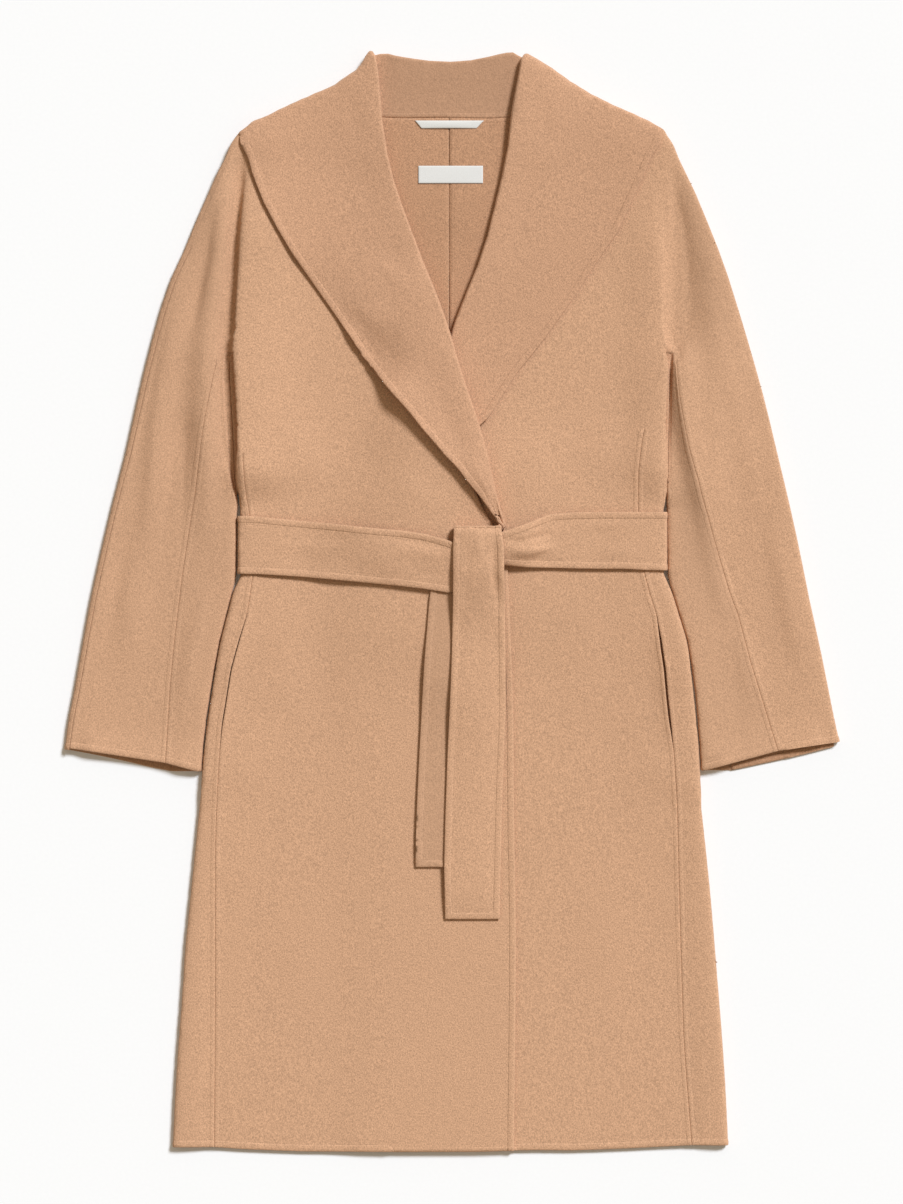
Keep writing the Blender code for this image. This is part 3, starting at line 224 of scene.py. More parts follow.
# How the edges beside the gap lean, by the height of the body's fold ("top"): its crest
# goes outward, its foot inward, and the sleeve's edge away from the body.
LEAN_HIGH = (0.70, 0.2)   # the crest starts at this share of the height, and is full above
LEAN_CREST = (34.0, 24.0)  # the crest's width, and over what part of it the lean grows
LEAN_FOOT = (4.0, 4.2)    # place and width of the feet, on either side of the valley
LEAN = {
    "right": table("y top crest foot sleeve",
        (440, 9, 0, 0, 0), (400, 13, 2, 0.5, 0), (350, 14.9, 4.2, 1.5, 0.5), (300, 16.4, 5.6, 2, 1),
        (262, 17.2, 5.2, 2, 2), (245, 17.7, 4.6, 2.2, 3), (220, 18.3, 3.0, 2.8, 3.4),
        (190, 19.1, 2.6, 3.0, 3), (150, 20.8, 2.2, 3.0, 1.4), (118, 16.5, 2, 2, 0.6),
        (100, 14.2, 1.2, 1, 0), (88, 12.6, 0, 0, 0)),
    "left": table("y top crest foot sleeve",
        (440, 9, 0, 0, 0), (380, 11, 1, 0.5, 0), (300, 12.6, 2.4, 1, 0), (245, 13.4, 3.4, 1.6, 0),
        (200, 13.4, 3.6, 1.6, 0), (150, 13.4, 3, 1.2, 0), (118, 12, 2, 0.6, 0), (100, 11, 1, 0, 0),
        (88, 10, 0, 0, 0)),
}

# Small corrections of the outline at the shoulders.
PUSHES = table("x y dx dy reach", (-158, 496, -1.2, 2.8, 44), (-124, 512, -1.2, 3.0, 44),
               (-92, 530, -1.0, 3.0, 40), (-74, 546, -2.0, 3.6, 20), (-200, 478, -3.5, 3.0, 17),
               (-216, 455, -3.2, 2.4, 24), (203, 476, 3.6, 1.6, 18), (217, 455, 4.0, 2.6, 26))

# How borders are paired at the seams, and how far each comes to meet the other.
FLATTEN = np.array((1.0, 1.0, 0.45))
MEET_REACH = 1.5
PLAIN_REACH = 2.6
MEET_SHARE = 0.3

# How much darker the colour is painted: painted shade by height on the sleeves, on the collar's
# stand and on the left under sleeve, and a darker colour on the belt's under tail.
SLEEVE_PAINTED_SHADE = table("y right left", (470, 0.75, 0.5), (380, 0.75, 0.65), (300, 0.6, 0.55), (180, 0.45, 0.15),
                    (60, 0.45, 0), (-170, 0.25, 0))
SLEEVE_FROM = 14.0        # the sleeves' painted shade starts this far inside the valley
SLEEVE_OVER = 40.0
STAND = dict(x=72.0, y=482.0, top=560.0, fade_x=10.0, fade_y=6.0)
UNDER_SLEEVE_PAINTED_SHADE = dict(low=0.4, more=0.5, y=-60.0, over=160.0)
UNDER_TAIL_TONE = 0.7

SIGN = {"right": -1.0, "left": 1.0}

# The studio, in metres: a pale floor, a soft sun from high on the right, and a camera
# straight above. The picture is as high as VIEW_HEIGHT, at the coat's middle layer.
FLOOR_SIZE = 6.0
WORLD = dict(colour=(1.0, 0.86, 0.66), strength=0.37)
KEY = dict(place=(1.25, 1.5, 1.75), energy=3.4, angle=math.radians(15), colour=(1.0, 1.064, 1.151))
VIEW_HEIGHT = 1.204
CAMERA = dict(lens=100.0, sensor=36.0, centre=(0.0005, -0.001), coat=0.008)

# The pocket openings: top and bottom ends, and how far their front edge gapes and rises.
POCKETS = {
    "front_right": dict(line=((-199.5, -3), (-219, -61), (-231, -140), (-232.5, -158)), gape=1.2, rise=1.4),
    "front_left": dict(line=((203, -7), (214, -61), (222, -139), (222.6, -155)), gape=2.6, rise=2.4),
}
POCKET_REACH = 26.0
POCKET_FADE = 0.3

# The hanger strip and the neck label: corners from low left anticlockwise, the height
# at which they lie on the backs, their mesh cells, and how far they bulge.
STRIP = dict(corners=((-29.5, 473), (25.5, 473), (33, 480.8), (-36, 480.8)),
             y=476, cells=(48, 6), bulge=0.9)
LABEL = dict(corners=((-32.6, 418), (32, 418), (32, 435.5), (-32.6, 435.5)),
             y=427, cells=(48, 14), bulge=0.25)
ON_RIGHT, ON_LEFT = -20, 15  # they touch the two backs at these places across


# --- plan geometry -----------------------------------------------------------
def smooth_step(t):
    """Goes softly from 0 to 1 between 0 and 1."""
    t = np.clip(t, 0.0, 1.0)
    return t * t * (3 - 2 * t)


def spot(points, x, y, reach):
    """The share of a round soft spot in plan: 1 at its middle, 0 from its reach on."""
    d = np.linalg.norm(points[:, :2] - (x, y), axis=1)
    return np.clip(1 - (d / reach) ** 2, 0, 1) ** 2


def curve_through(points, spacing=4.0):
    """A smooth plan curve through the points, at an even spacing."""
    points = np.asarray(points, float)
    knots = np.vstack([2 * points[0] - points[1], points, 2 * points[-1] - points[-2]])
    fine = []
    for a, b, c, d in zip(knots, knots[1:], knots[2:], knots[3:]):
        for t in np.arange(8) / 8.0:
            fine.append(0.5 * (2 * b + (c - a) * t + (2 * a - 5 * b + 4 * c - d) * t * t
                               + (3 * b - a - 3 * c + d) * t ** 3))
    fine.append(points[-1])
    fine = np.array(fine)
    length = np.concatenate([[0], np.cumsum(np.linalg.norm(np.diff(fine, axis=0), axis=1))])
    along = np.linspace(0, length[-1], max(2, int(length[-1] / spacing) + 1))
    return np.column_stack([np.interp(along, length, fine[:, k]) for k in range(fine.shape[1])])


def near_curve(points, curve):
    """Distance to a curve, the side of it (left is positive), and the share of its length."""
    best = np.full(len(points), 1e9)
    side = np.ones(len(points))
    share = np.zeros(len(points))
    for k, (a, b) in enumerate(zip(curve, curve[1:])):
        run = b - a
        t = np.clip(((points - a) @ run) / max(run @ run, 1e-9), 0, 1)
        off = points - a - t[:, None] * run
        d = np.linalg.norm(off, axis=1)
        closer = d < best
        best[closer] = d[closer]
        turn = run[0] * off[:, 1] - run[1] * off[:, 0]
        side[closer] = np.where(turn[closer] >= 0, 1.0, -1.0)
        share[closer] = (k + t[closer]) / (len(curve) - 1)
    return best, side, share


def fold_height(points, folds):
    """Height of the soft folds at plan points."""
    height = np.zeros(len(points))
    for item in folds:
        d, side, share = near_curve(points, curve_through(item["line"]))
        width = np.where(side > 0, item["left"], item["right"])
        start, end = np.broadcast_to(item["fade"], 2)
        ends = smooth_step(share / start) * smooth_step((1 - share) / end)
        height += item["rise"] * np.exp(-(d / width) ** 2) * ends
    return height


# --- sheets from the solids --------------------------------------------------
def flood(faces, joined):
    """Groups of faces that are joined across their edges."""
    left = set(faces)
    groups = []
    while left:
        start = left.pop()
        group, stack = [start], [start]
        while stack:
            for edge in stack.pop().edges:
                if not joined(edge):
                    continue
                for other in edge.link_faces:
                    if other in left:
                        left.remove(other)
                        stack.append(other)
                        group.append(other)
        groups.append(group)
    return sorted(groups, key=lambda g: -sum(f.calc_area() for f in g))


def outer_side(node, thickness):
    """The outer side of a CAD node's wall, as an open mesh."""
    bm = bmesh.new()
    bm.from_mesh(node.data)
    bmesh.ops.remove_doubles(bm, verts=bm.verts, dist=WELD)
    wall = thickness * MM
    rim = {f for f in bm.faces if any(abs(e.calc_length() - wall) < WALL_SLIP for e in f.edges)
           and any(e.calc_face_angle(0) > RIM_ANGLE for e in f.edges)}
    groups = flood(set(bm.faces) - rim, lambda e: True)
    if len(groups) < 2:
        groups = flood(bm.faces, lambda e: e.calc_face_angle(0) < SIDE_ANGLE)
    area = [sum(f.calc_area() for f in g) for g in groups[:2]]
    height = [np.mean([f.calc_center_median().z for f in g]) for g in groups[:2]]
    keep = set(groups[0] if area[0] > area[1] * LARGER_SIDE or height[0] > height[1] else groups[1])
    bmesh.ops.delete(bm, geom=[f for f in bm.faces if f not in keep], context="FACES")
    return bm


def arrays(bm):
    """Points in millimetres and triangles of a bmesh."""
    bmesh.ops.triangulate(bm, faces=[f for f in bm.faces if len(f.verts) > 3])
    bm.verts.index_update()
    points = np.array([v.co for v in bm.verts]).reshape(-1, 3) / MM
    faces = np.array([[v.index for v in f.verts] for f in bm.faces])
    return points, faces


def border_of(bm):
    """Ends of the border's edges, in millimetres."""
    pairs = [[e.verts[0].co, e.verts[1].co] for e in bm.edges if e.is_boundary]
    return np.array([[tuple(a), tuple(b)] for a, b in pairs]) / MM


def sample_segments(pairs, spacing=1.5):
    """Evenly spaced points along a border."""
    out = []
    for a, b in pairs:
        count = max(1, int(np.linalg.norm(b - a) / spacing))
        out.append(a + (b - a) * ((np.arange(count) + 0.5) / count)[:, None])
    return np.vstack(out) if out else np.zeros((0, 3))


def nearest(points, targets):
    """Distance from each point to the nearest target."""
    if not len(targets):
        return np.full(len(points), 1e9)
    tree = KDTree(len(targets))
    for k, target in enumerate(targets):
        tree.insert(target, k)
    tree.balance()
    return np.array([tree.find(point)[2] for point in points])


def crease_marks(folds):
    """Plan points along the narrow folds."""
    lines = [curve_through(item["line"]) for item in folds if min(item["left"], item["right"]) < NARROW]
    return np.vstack(lines) if lines else np.zeros((0, 2))


def refine(bm, border, factor, creases, passes=6):
    """Splits long edges, to small cells near borders and creases and larger ones elsewhere."""
    marks = sample_segments(border)
    creases = np.column_stack([creases, np.zeros(len(creases))])
    for _ in range(passes):
        edges = list(bm.edges)
        ends = np.array([[tuple(e.verts[0].co), tuple(e.verts[1].co)] for e in edges]) / MM
        length = np.linalg.norm(ends[:, 1] - ends[:, 0], axis=1)
        middle = ends.mean(1)
        d = nearest(middle, marks) - EDGE_BAND
        if len(creases):
            d = np.minimum(d, nearest(middle * (1, 1, 0), creases) - CREASE_BAND)
        target = np.clip(EDGE_CELL + d * CELL_GROWTH, EDGE_CELL, OPEN_CELL) * factor
        split = [e for e, n, t in zip(edges, length, target) if n > SPLIT_AT * t]
        if not split:
            break
        bmesh.ops.subdivide_edges(bm, edges=split, cuts=1)
        bmesh.ops.triangulate(bm, faces=[f for f in bm.faces if len(f.verts) > 3])
        flat = [e for e in bm.edges if not e.is_boundary and e.calc_face_angle(1) < FLAT_ANGLE
                and min(abs(f.normal.z) for f in e.link_faces) > LEVEL]
        bmesh.ops.beautify_fill(bm, faces=bm.faces, edges=flat, method="AREA")


class Mesh:
    """Points, triangles, neighbours and border of a sheet."""

    def __init__(self, points, faces):
        self.points, self.faces = points, faces
        halves = np.vstack([faces[:, [0, 1]], faces[:, [1, 2]], faces[:, [2, 0]]])
        key = np.sort(halves, axis=1)
        whole, index, count = np.unique(key, axis=0, return_inverse=True, return_counts=True)
        self.edges = whole
        self.rim = halves[count[index.reshape(-1)] == 1]
        self.on_rim = np.zeros(len(points), bool)
        self.on_rim[self.rim.reshape(-1)] = True

    def face_normals(self):
        """Each face's normal, as long as twice its area."""
        a, b, c = (self.points[self.faces[:, k]] for k in range(3))
        return np.cross(b - a, c - a)

    def normals(self):
        """Each point's normal."""
        face = self.face_normals()
        out = np.zeros_like(self.points)
        for k in range(3):
            np.add.at(out, self.faces[:, k], face)
        return out / np.maximum(np.linalg.norm(out, axis=1), 1e-12)[:, None]

    def average(self, values):
        """Mean of each point's neighbours: along the border only, for a border point."""
        i, j = self.edges.T
        inner = ~(self.on_rim[i] & self.on_rim[j])
        weight = 1.0 / np.maximum(np.linalg.norm(self.points[i] - self.points[j], axis=1), SHORTEST)
        total = np.zeros_like(values)
        count = np.zeros(len(values))
        for a, b in ((i, j), (j, i)):
            for use in (inner & ~self.on_rim[a], ~inner):
                np.add.at(total, a[use], values[b[use]] * weight[use, None])
                np.add.at(count, a[use], weight[use])
        count = np.maximum(count, 1e-9)[:, None]
        return np.where(count > 1e-6, total / count, values)

    def corners(self):
        """Border points where the border turns sharply."""
        fixed = np.zeros(len(self.points), bool)
        ahead = dict(self.rim)
        back = {b: a for a, b in self.rim}
        for point in ahead:
            if point not in back:
                fixed[point] = True
                continue
            u = self.points[ahead[point]] - self.points[point]
            v = self.points[point] - self.points[back[point]]
            cosine = (u @ v) / max(np.linalg.norm(u) * np.linalg.norm(v), 1e-9)
            fixed[point] = cosine < CORNER
        return fixed

    def smooth(self, rounds):
        """Rounds off the solid's facets, without shrinking its folds."""
        fixed = self.corners()
        for step in ROUND_OFF:
            move = self.average(self.points) - self.points
            normals = self.normals()
            along = (move * normals).sum(1)[:, None] * normals
            move = np.where(self.on_rim[:, None], move, along)
            move[fixed] = 0
            self.points = self.points + step * move
        flat = smooth_step((np.abs(self.normals()[:, 2]) - SMOOTH_LEVEL) / SMOOTH_OVER)
        flat[fixed] = 0
        for _ in range(rounds):
            z = self.points[:, 2:3]
            self.points[:, 2:3] = z + HEIGHT_STEP * flat[:, None] * (self.average(z) - z)
        self.unfold()

    def unfold(self, rounds=5):
        """Draws the points of narrow or turned-over triangles back among their neighbours."""
        for _ in range(rounds):
            face = self.face_normals()
            size = np.linalg.norm(face, axis=1)
            unit = face / np.maximum(size, 1e-12)[:, None]
            agree = (unit * self.normals()[self.faces].mean(1)).sum(1)
            ids = np.unique(self.faces[(agree < TURNED_OVER) | (size < SLIVER)])
            ids = ids[~self.on_rim[ids]]
            if not len(ids):
                break
            self.points[ids] = self.average(self.points)[ids]


# --- relief ------------------------------------------------------------------
def turned_edge(d, reach, rise):
    """A turned-in edge: thicker out to its stitch line, which sinks in a little."""
    start, over = TURNED_BAND
    place, width, share = TURNED_SINK
    sink = np.exp(-((d - reach - place) / width) ** 2)
    return rise * (1 - smooth_step((d - reach + start) / over) - share * sink)


def seam_ridge(d):
    """The cloth stands up a little where it is sewn."""
    return SEAM_RIDGE * np.exp(-(d / RIDGE_WIDTH) ** 2)


def across(edge, key, y):
    """A column of a table of heights, at the heights y."""
    return np.interp(-y, -edge["y"], edge[key])


def draw_together(points):
    """Brings each sleeve's inner edge close to the body, and what is joined to it along."""
    for side, edge in GAP.items():
        x = points[:, 0] * SIGN[side]
        valley, sleeve = across(edge, "valley", points[:, 1]), across(edge, "sleeve", points[:, 1])
        inner = np.clip((x - valley) / (sleeve - valley), 0, 1)
        outer = 1 - smooth_step((x - sleeve) / DRAW_REACH)
        share = np.where(x > sleeve, outer, inner)
        points[:, 0] -= SIGN[side] * across(edge, "draw", points[:, 1]) * share


def slant_seam(points):
    """The left sleeve's front seam starts close beside the body."""
    x, y = points[:, 0], points[:, 1]
    seam, valley, draw = (across(SLANT, key, y) for key in ("seam", "valley", "draw"))
    share = np.where(x > seam, 1 - smooth_step((x - seam) / SLANT_WIDTH),
                     smooth_step((x - valley) / (seam - valley)))
    points[:, 0] -= draw * share * (x > valley)


def close_tip(points):
    """Carries the sleeve's outer edge up to the collar's tip."""
    for sign in (-1, 1):
        off = points[:, :2] - (sign * TIP["x"], TIP["y"])
        share = np.clip(1 - np.linalg.norm(off, axis=1) / TIP["reach"], 0, 1) ** 1.5
        points[:, 0] += sign * TIP["move_x"] * share
        points[:, 1] += TIP["move_y"] * share


def lift_with_folds(points, floor):
    """The folds lift everything that lies above the lowest cloth, by the same amount."""
    x, y, z = points.T.copy()
    low = np.full(len(points), FOLD_BASE)
    for side, edge in GAP.items():
        off = np.abs(x * SIGN[side] - across(edge, "valley", y))
        near = 1 - smooth_step((off - VALLEY_HALF) / VALLEY_FADE[0])
        near *= smooth_step((VALLEY_TOP - y) / VALLEY_FADE[1])
        low += VALLEY_RAISE * near * (x * SIGN[side] > 0)
    share = smooth_step((z - low) / (FOLD_FULL - FOLD_BASE))
    lifted = z + fold_height(points[:, :2], FOLDS) * share
    points[:, 2] = np.maximum(lifted, np.minimum(z, floor))


def lean_over(points):
    """The edges of body and sleeve beside the gap bulge out over their own feet."""
    for side, edge in LEAN.items():
        x, y, z = points[:, 0] * SIGN[side], points[:, 1], points[:, 2]
        off = x - across(GAP[side], "valley", y)
        high = smooth_step((z / across(edge, "top", y) - LEAN_HIGH[0]) / LEAN_HIGH[1])
        crest = smooth_step((off + LEAN_CREST[0]) / LEAN_CREST[1]) * (off < 0) * high
        foot = np.exp(-((off + LEAN_FOOT[0]) / LEAN_FOOT[1]) ** 2) * (1 - high)
        sleeve = np.exp(-((off - LEAN_FOOT[0]) / LEAN_FOOT[1]) ** 2)
        move = across(edge, "crest", y) * crest - across(edge, "foot", y) * foot
        points[:, 0] += SIGN[side] * (move + across(edge, "sleeve", y) * sleeve)


def push(points):
    """Small corrections of the outline at the shoulders, the same for all the layers."""
    for x, y, dx, dy, reach in zip(*PUSHES.values()):
        points[:, :2] += spot(points, x, y, reach)[:, None] * (dx, dy)


def finder(points):
    """Looks up the nearest of the points, with heights counting for less."""
    tree = KDTree(len(points))
    for k, point in enumerate(points * FLATTEN):
        tree.insert(point, k)
    tree.balance()
    return lambda point: points[tree.find(point * FLATTEN)[1]]


def meet(mesh, own, others, plain):
    """Brings the borders together at the seams; where the seams don't show they close up."""
    own, others = finder(own), finder(others)
    for k in np.flatnonzero(mesh.on_rim):
        here = own(mesh.points[k])
        there = others(here)
        off = (there - here) * FLATTEN
        if off @ off > (MEET_REACH if plain[k] < 0.5 else PLAIN_REACH) ** 2:
            continue
        shut = (here + there) / 2 + (mesh.points[k] - here) * (1, 1, 0) * 0.5
        drawn = mesh.points[k] + (there - here) * MEET_SHARE
        mesh.points[k] = shut * plain[k] + drawn * (1 - plain[k])


def cover_tip(points):
    """The collar's upper layer reaches out to the fold of its tip."""
    for sign in (-1, 1):
        share = spot(points, sign * COVER["x"], COVER["y"], COVER["reach"])
        share *= smooth_step((points[:, 2] - COVER["above"]) / 2)
        points[:, 0] += sign * COVER["out"] * share
        points[:, 1] += COVER["up"] * share


def set_lapel(points):
    """Trues up the lower part of the right lapel's edge, and its end at the knot."""
    plan = points[:, :2].copy()
    beside = smooth_step((across(ROLL, "x", plan[:, 1]) - 2 - plan[:, 0]) / ROLL_WIDTH)
    for x, y, inward in zip(*LAPEL.values()):
        share = spot(plan, x, y, LAPEL_REACH) * beside
        points[:, :2] += share[:, None] * inward * LAPEL_ACROSS
    share = spot(plan, LAPEL_END["x"], LAPEL_END["y"], LAPEL_END["reach"])
    points[:, 0] += (LAPEL_END["dx"] + LAPEL_END["edge_dx"] * beside) * share
    points[:, 1] += LAPEL_END["dy"] * share


def open_pocket(name, points):
    """Draws the front edge of a pocket's opening inward and up."""
    pocket = POCKETS[name]
    d, side, share = near_curve(points[:, :2], curve_through(pocket["line"]))
    along = smooth_step(share / POCKET_FADE) * smooth_step((1 - share) / POCKET_FADE)
    near = np.clip(1 - d / POCKET_REACH, 0, 1) ** 2
    inward = -1.0 if name == "front_left" else 1.0
    points[:, 0] += inward * pocket["gape"] * along * near
    points[:, 2] += pocket["rise"] * along * near


def plain_seam(points):
    """Where the seams don't show: round the underarm, and along the top of the sleeve."""
    x, y = np.abs(points[:, 0]), points[:, 1]
    right = points[:, 0] < 0
    low = np.where(right, PLAIN["side_low_right"], PLAIN["side_low_left"])
    side = (x > np.where(right, PLAIN["inner"], PLAIN["inner_left"])) & (x < PLAIN["outer"]) & (y > low)
    apex = (x > PLAIN["inner"]) & (x < PLAIN["apex_outer"]) & (y > PLAIN["apex_low"])
    over = np.where(right, smooth_step((y - PLAIN["over_low"]) / PLAIN["over_fade"]), 1.0)
    over = (x > across(OVERARM, "inner", y)) * over
    return np.maximum(over, (side | apex) & (y < PLAIN["top"]))


def show(name, data):
    """Puts a new object with this data in the scene."""
    obj = bpy.data.objects.new(name, data)
    bpy.context.scene.collection.objects.link(obj)
    return obj


def wall(name, mesh, thickness, rounding=1.0):
    """A closed thin wall with rounded borders, from its outer side."""
    points, faces = mesh.points, mesh.faces
    normals = mesh.normals()
    count = len(points)
    outer = points.copy()
    inner = points - normals * thickness
    rim_points = np.unique(mesh.rim)
    out = np.zeros_like(points)
    for a, b in mesh.rim:
        run = points[b] - points[a]
        side = np.cross(run, normals[a] + normals[b])
        side /= max(np.linalg.norm(side), 1e-9)
        out[a] += side
        out[b] += side
    length = np.linalg.norm(out[rim_points], axis=1)[:, None]
    out[rim_points] /= np.maximum(length, 1e-9)
    rounding = np.broadcast_to(rounding, count)[rim_points]
    tuck = RIM_TUCK * thickness * rounding[:, None]
    across_rim, into = out[rim_points] * tuck * RIM_PARTS[0], normals[rim_points] * tuck * RIM_PARTS[1]
    outer[rim_points] -= across_rim + into
    inner[rim_points] -= across_rim - into
    number = {p: 2 * count + 2 * k for k, p in enumerate(rim_points)}
    middle = [points[p] - normals[p] * thickness * depth for p in rim_points for depth in RIM_DEPTHS]
    verts = np.vstack([outer, inner, np.array(middle)])
    tris = np.vstack([faces, faces[:, ::-1] + count])
    quads = []
    for a, b in mesh.rim:
        ring_a = (a, number[a], number[a] + 1, a + count)
        ring_b = (b, number[b], number[b] + 1, b + count)
        for k in range(3):
            quads.append((ring_b[k], ring_a[k], ring_a[k + 1], ring_b[k + 1]))
    data = bpy.data.meshes.new(name)
    polygons = [tuple(int(v) for v in p) for p in (*tris, *quads)]
    data.from_pydata([tuple(v) for v in verts * MM], [], polygons)
    data.update()
    data.shade_smooth()
    closed = np.zeros(len(verts), bool)
    closed[rim_points] = rounding < 0.5
    if closed.any():
        ends = np.empty(2 * len(data.edges), np.int32)
        data.edges.foreach_get("vertices", ends)
        ends = ends.reshape(-1, 2)
        rim_keys = np.sort(mesh.rim, axis=1) @ (len(verts), 1)
        sharp = closed[ends].all(1) & np.isin(np.sort(ends, axis=1) @ (len(verts), 1), rim_keys)
        data.attributes.new("sharp_edge", "BOOLEAN", "EDGE").data.foreach_set("value", sharp)
    return show(name, data)


def give(obj, name, values):
    """Stores a number for each vertex, for the materials."""
    attribute = obj.data.attributes.new(name, "FLOAT", "POINT")
    attribute.data.foreach_set("value", np.asarray(values, np.float32))


# --- materials ---------------------------------------------------------------
class Nodes:
    """Short calls for building a material's nodes."""

    def __init__(self, name):
        self.material = bpy.data.materials.new(name)
        self.material.use_nodes = True
        self.tree = self.material.node_tree
        self.shader = self.tree.nodes["Principled BSDF"]

    def add(self, kind, **inputs):
        """A node with its inputs: i0, i1 by number, others by name; set_ for its settings."""
        node = self.tree.nodes.new(kind)
        for key, value in inputs.items():
            if key.startswith("set_"):
                setattr(node, key[4:], value)
                continue
            numbered = key[0] == "i" and key[1:].isdigit()
            self.put(node.inputs[int(key[1:]) if numbered else key.replace("_", " ")], value)
        return node

    def put(self, socket, value):
        if isinstance(value, bpy.types.NodeSocket):
            self.tree.links.new(value, socket)
        else:
            socket.default_value = value

    def math(self, operation, a, b=0.0):
        return self.add("ShaderNodeMath", set_operation=operation, i0=a, i1=b).outputs[0]

    def mix(self, factor, a, b):
        return self.add("ShaderNodeMix", set_data_type="RGBA", i0=factor, i6=a, i7=b).outputs[2]

    def noise(self, place, scale, detail=2.0, roughness=0.5):
        return self.add("ShaderNodeTexNoise", Vector=place, Scale=scale, Detail=detail,
                        Roughness=roughness).outputs["Fac"]

    def attribute(self, name):
        return self.add("ShaderNodeAttribute", set_attribute_name=name).outputs["Fac"]

    def ramp(self, value, low, high, to_low=0.0, to_high=1.0, kind="LINEAR"):
        """Maps one range of a value to another."""
        return self.add("ShaderNodeMapRange", set_interpolation_type=kind, Value=value, From_Min=low,
                        From_Max=high, To_Min=to_low, To_Max=to_high).outputs[0]


def edge_relief(n, key, reach, rise, groove, dimples):
    """Height in mm of a turned-in edge with its row of hidden stitches."""
    distance = n.attribute(key)
    band = n.ramp(distance, reach - 0.9, reach + 0.7, rise, 0.0, "SMOOTHSTEP")
    off = n.math("ABSOLUTE", n.math("SUBTRACT", distance, reach + 0.2))
    row = n.ramp(off, 0.0, 1.1, groove, 0.0, "SMOOTHSTEP")
    return n.math("SUBTRACT", band, n.math("MULTIPLY", row, dimples)), distance


def wool(name, colour, spread=0.32):
    """Milled double-face wool: a short nap that is flattened one way, and a soft sheen."""
    n = Nodes(name)
    dark = tuple(c * (1 - spread) for c in colour)
    light = tuple(c * (1 + spread) for c in colour)
    place = n.add("ShaderNodeTexCoord").outputs["Object"]
    nap = n.add("ShaderNodeMapping", Vector=place, Scale=(1.0, 0.72, 1.0)).outputs[0]
    hairs = n.noise(nap, 1500.0, roughness=0.7)
    grain = n.noise(nap, 860.0, 3.0, 0.7)
    tufts = n.noise(nap, 190.0, 3.0, 0.55)
    mottle = n.noise(place, 45.0, 3.0)
    broad = n.noise(place, 7.0)
    fibres = n.math("ADD", n.math("MULTIPLY", hairs, 0.3), n.math("MULTIPLY", grain, 0.7))
    speckled = n.mix(n.ramp(fibres, 0.37, 0.63), (*dark, 1), (*light, 1))
    wash = n.math("ADD", n.math("MULTIPLY", tufts, 0.4),
                  n.math("ADD", n.math("MULTIPLY", mottle, 0.35), n.math("MULTIPLY", broad, 0.25)))
    # The tone attribute paints shade on the sleeves, the collar's stand and the left under sleeve, and
    # darkens the belt's under tail; the wash is random mottle.
    painted_darkening = n.math("MULTIPLY", n.attribute("tone"), 0.42)
    shade = n.math("ADD", n.ramp(wash, 0.36, 0.64, 0.10, 0.0), painted_darkening)
    toned = n.mix(shade, speckled, (*dark, 1))
    dimples = n.ramp(n.noise(place, 230.0, 0.0), 0.35, 0.65, 0.55, 1.25)
    turned, to_edge = edge_relief(n, "edge", TURNED, 0.20, 0.17, dimples)
    pressed, _ = edge_relief(n, "seam", SEAM_TURNED, 0.10, 0.10, dimples)
    # The colour is lighter within 1.8 mm of a finished edge.
    lighter_edge = n.mix(n.ramp(to_edge, 0.0, 1.8, 0.14, 0.0), toned, (*light, 1))
    n.put(n.shader.inputs["Base Color"], lighter_edge)
    fine = n.add("ShaderNodeBump", Strength=0.5, Distance=0.00022, Height=hairs)
    felt = n.add("ShaderNodeBump", Strength=0.8, Distance=0.0004, Height=grain, Normal=fine.outputs[0])
    soft = n.add("ShaderNodeBump", Strength=0.5, Distance=0.0008, Height=tufts, Normal=felt.outputs[0])
    shaped = n.add("ShaderNodeBump", Strength=1.0, Distance=0.001, Height=n.math("ADD", turned, pressed),
                   Normal=soft.outputs[0])
    n.put(n.shader.inputs["Normal"], shaped.outputs[0])
    n.put(n.shader.inputs["Roughness"], n.ramp(grain, 0.3, 0.7, 0.86, 1.0))
    n.shader.inputs["Specular IOR Level"].default_value = 0.18
    n.shader.inputs["Sheen Weight"].default_value = 0.18
    n.shader.inputs["Sheen Roughness"].default_value = 0.55
    n.shader.inputs["Sheen Tint"].default_value = (1.0, 0.84, 0.68, 1.0)
    return n.material


def woven(name, colour, spacing):
    """Smooth woven tape, with its ribs across it."""
    n = Nodes(name)
    place = n.add("ShaderNodeTexCoord").outputs["Object"]
    waves = dict(Vector=place, Scale=1.0 / spacing, Distortion=0.4)
    rib = n.add("ShaderNodeTexWave", **waves, Detail=1.0)
    warp = n.add("ShaderNodeTexWave", **waves, set_bands_direction="Y")
    grid = n.math("MULTIPLY", rib.outputs["Fac"], warp.outputs["Fac"])
    darker = tuple(c * 0.86 for c in colour)
    n.put(n.shader.inputs["Base Color"], n.mix(grid, (*darker, 1), (*colour, 1)))
    bump = n.add("ShaderNodeBump", Strength=0.35, Distance=0.00015, Height=grid)
    n.put(n.shader.inputs["Normal"], bump.outputs[0])
    n.shader.inputs["Roughness"].default_value = 0.62
    n.shader.inputs["Specular IOR Level"].default_value = 0.3
    return n.material


def floor_material():
    """A plain pale floor."""
    n = Nodes("floor")
    place = n.add("ShaderNodeTexCoord").outputs["Object"]
    colour = n.mix(n.noise(place, 300.0), (0.88, 0.88, 0.88, 1), (0.91, 0.91, 0.91, 1))
    n.put(n.shader.inputs["Base Color"], colour)
    n.shader.inputs["Roughness"].default_value = 0.9
    return n.material


# --- building ----------------------------------------------------------------
def read_sheets(nodes):
    """Every wool node's outer side and border."""
    found = {}
    for name, node in nodes.items():
        if name in ("hanger_strip", "neck_label"):
            continue
        bm = outer_side(node, SOLID_FACING if name.startswith("pocket_facing") else SOLID_CLOTH)
        found[name] = (bm, border_of(bm))
    return found


def others_of(name, sheets):
    """The borders of the pieces that this one may be sewn to."""
    return np.vstack([border for other, (_, border) in sheets.items()
                      if other != name and not other.startswith("pocket_facing")])


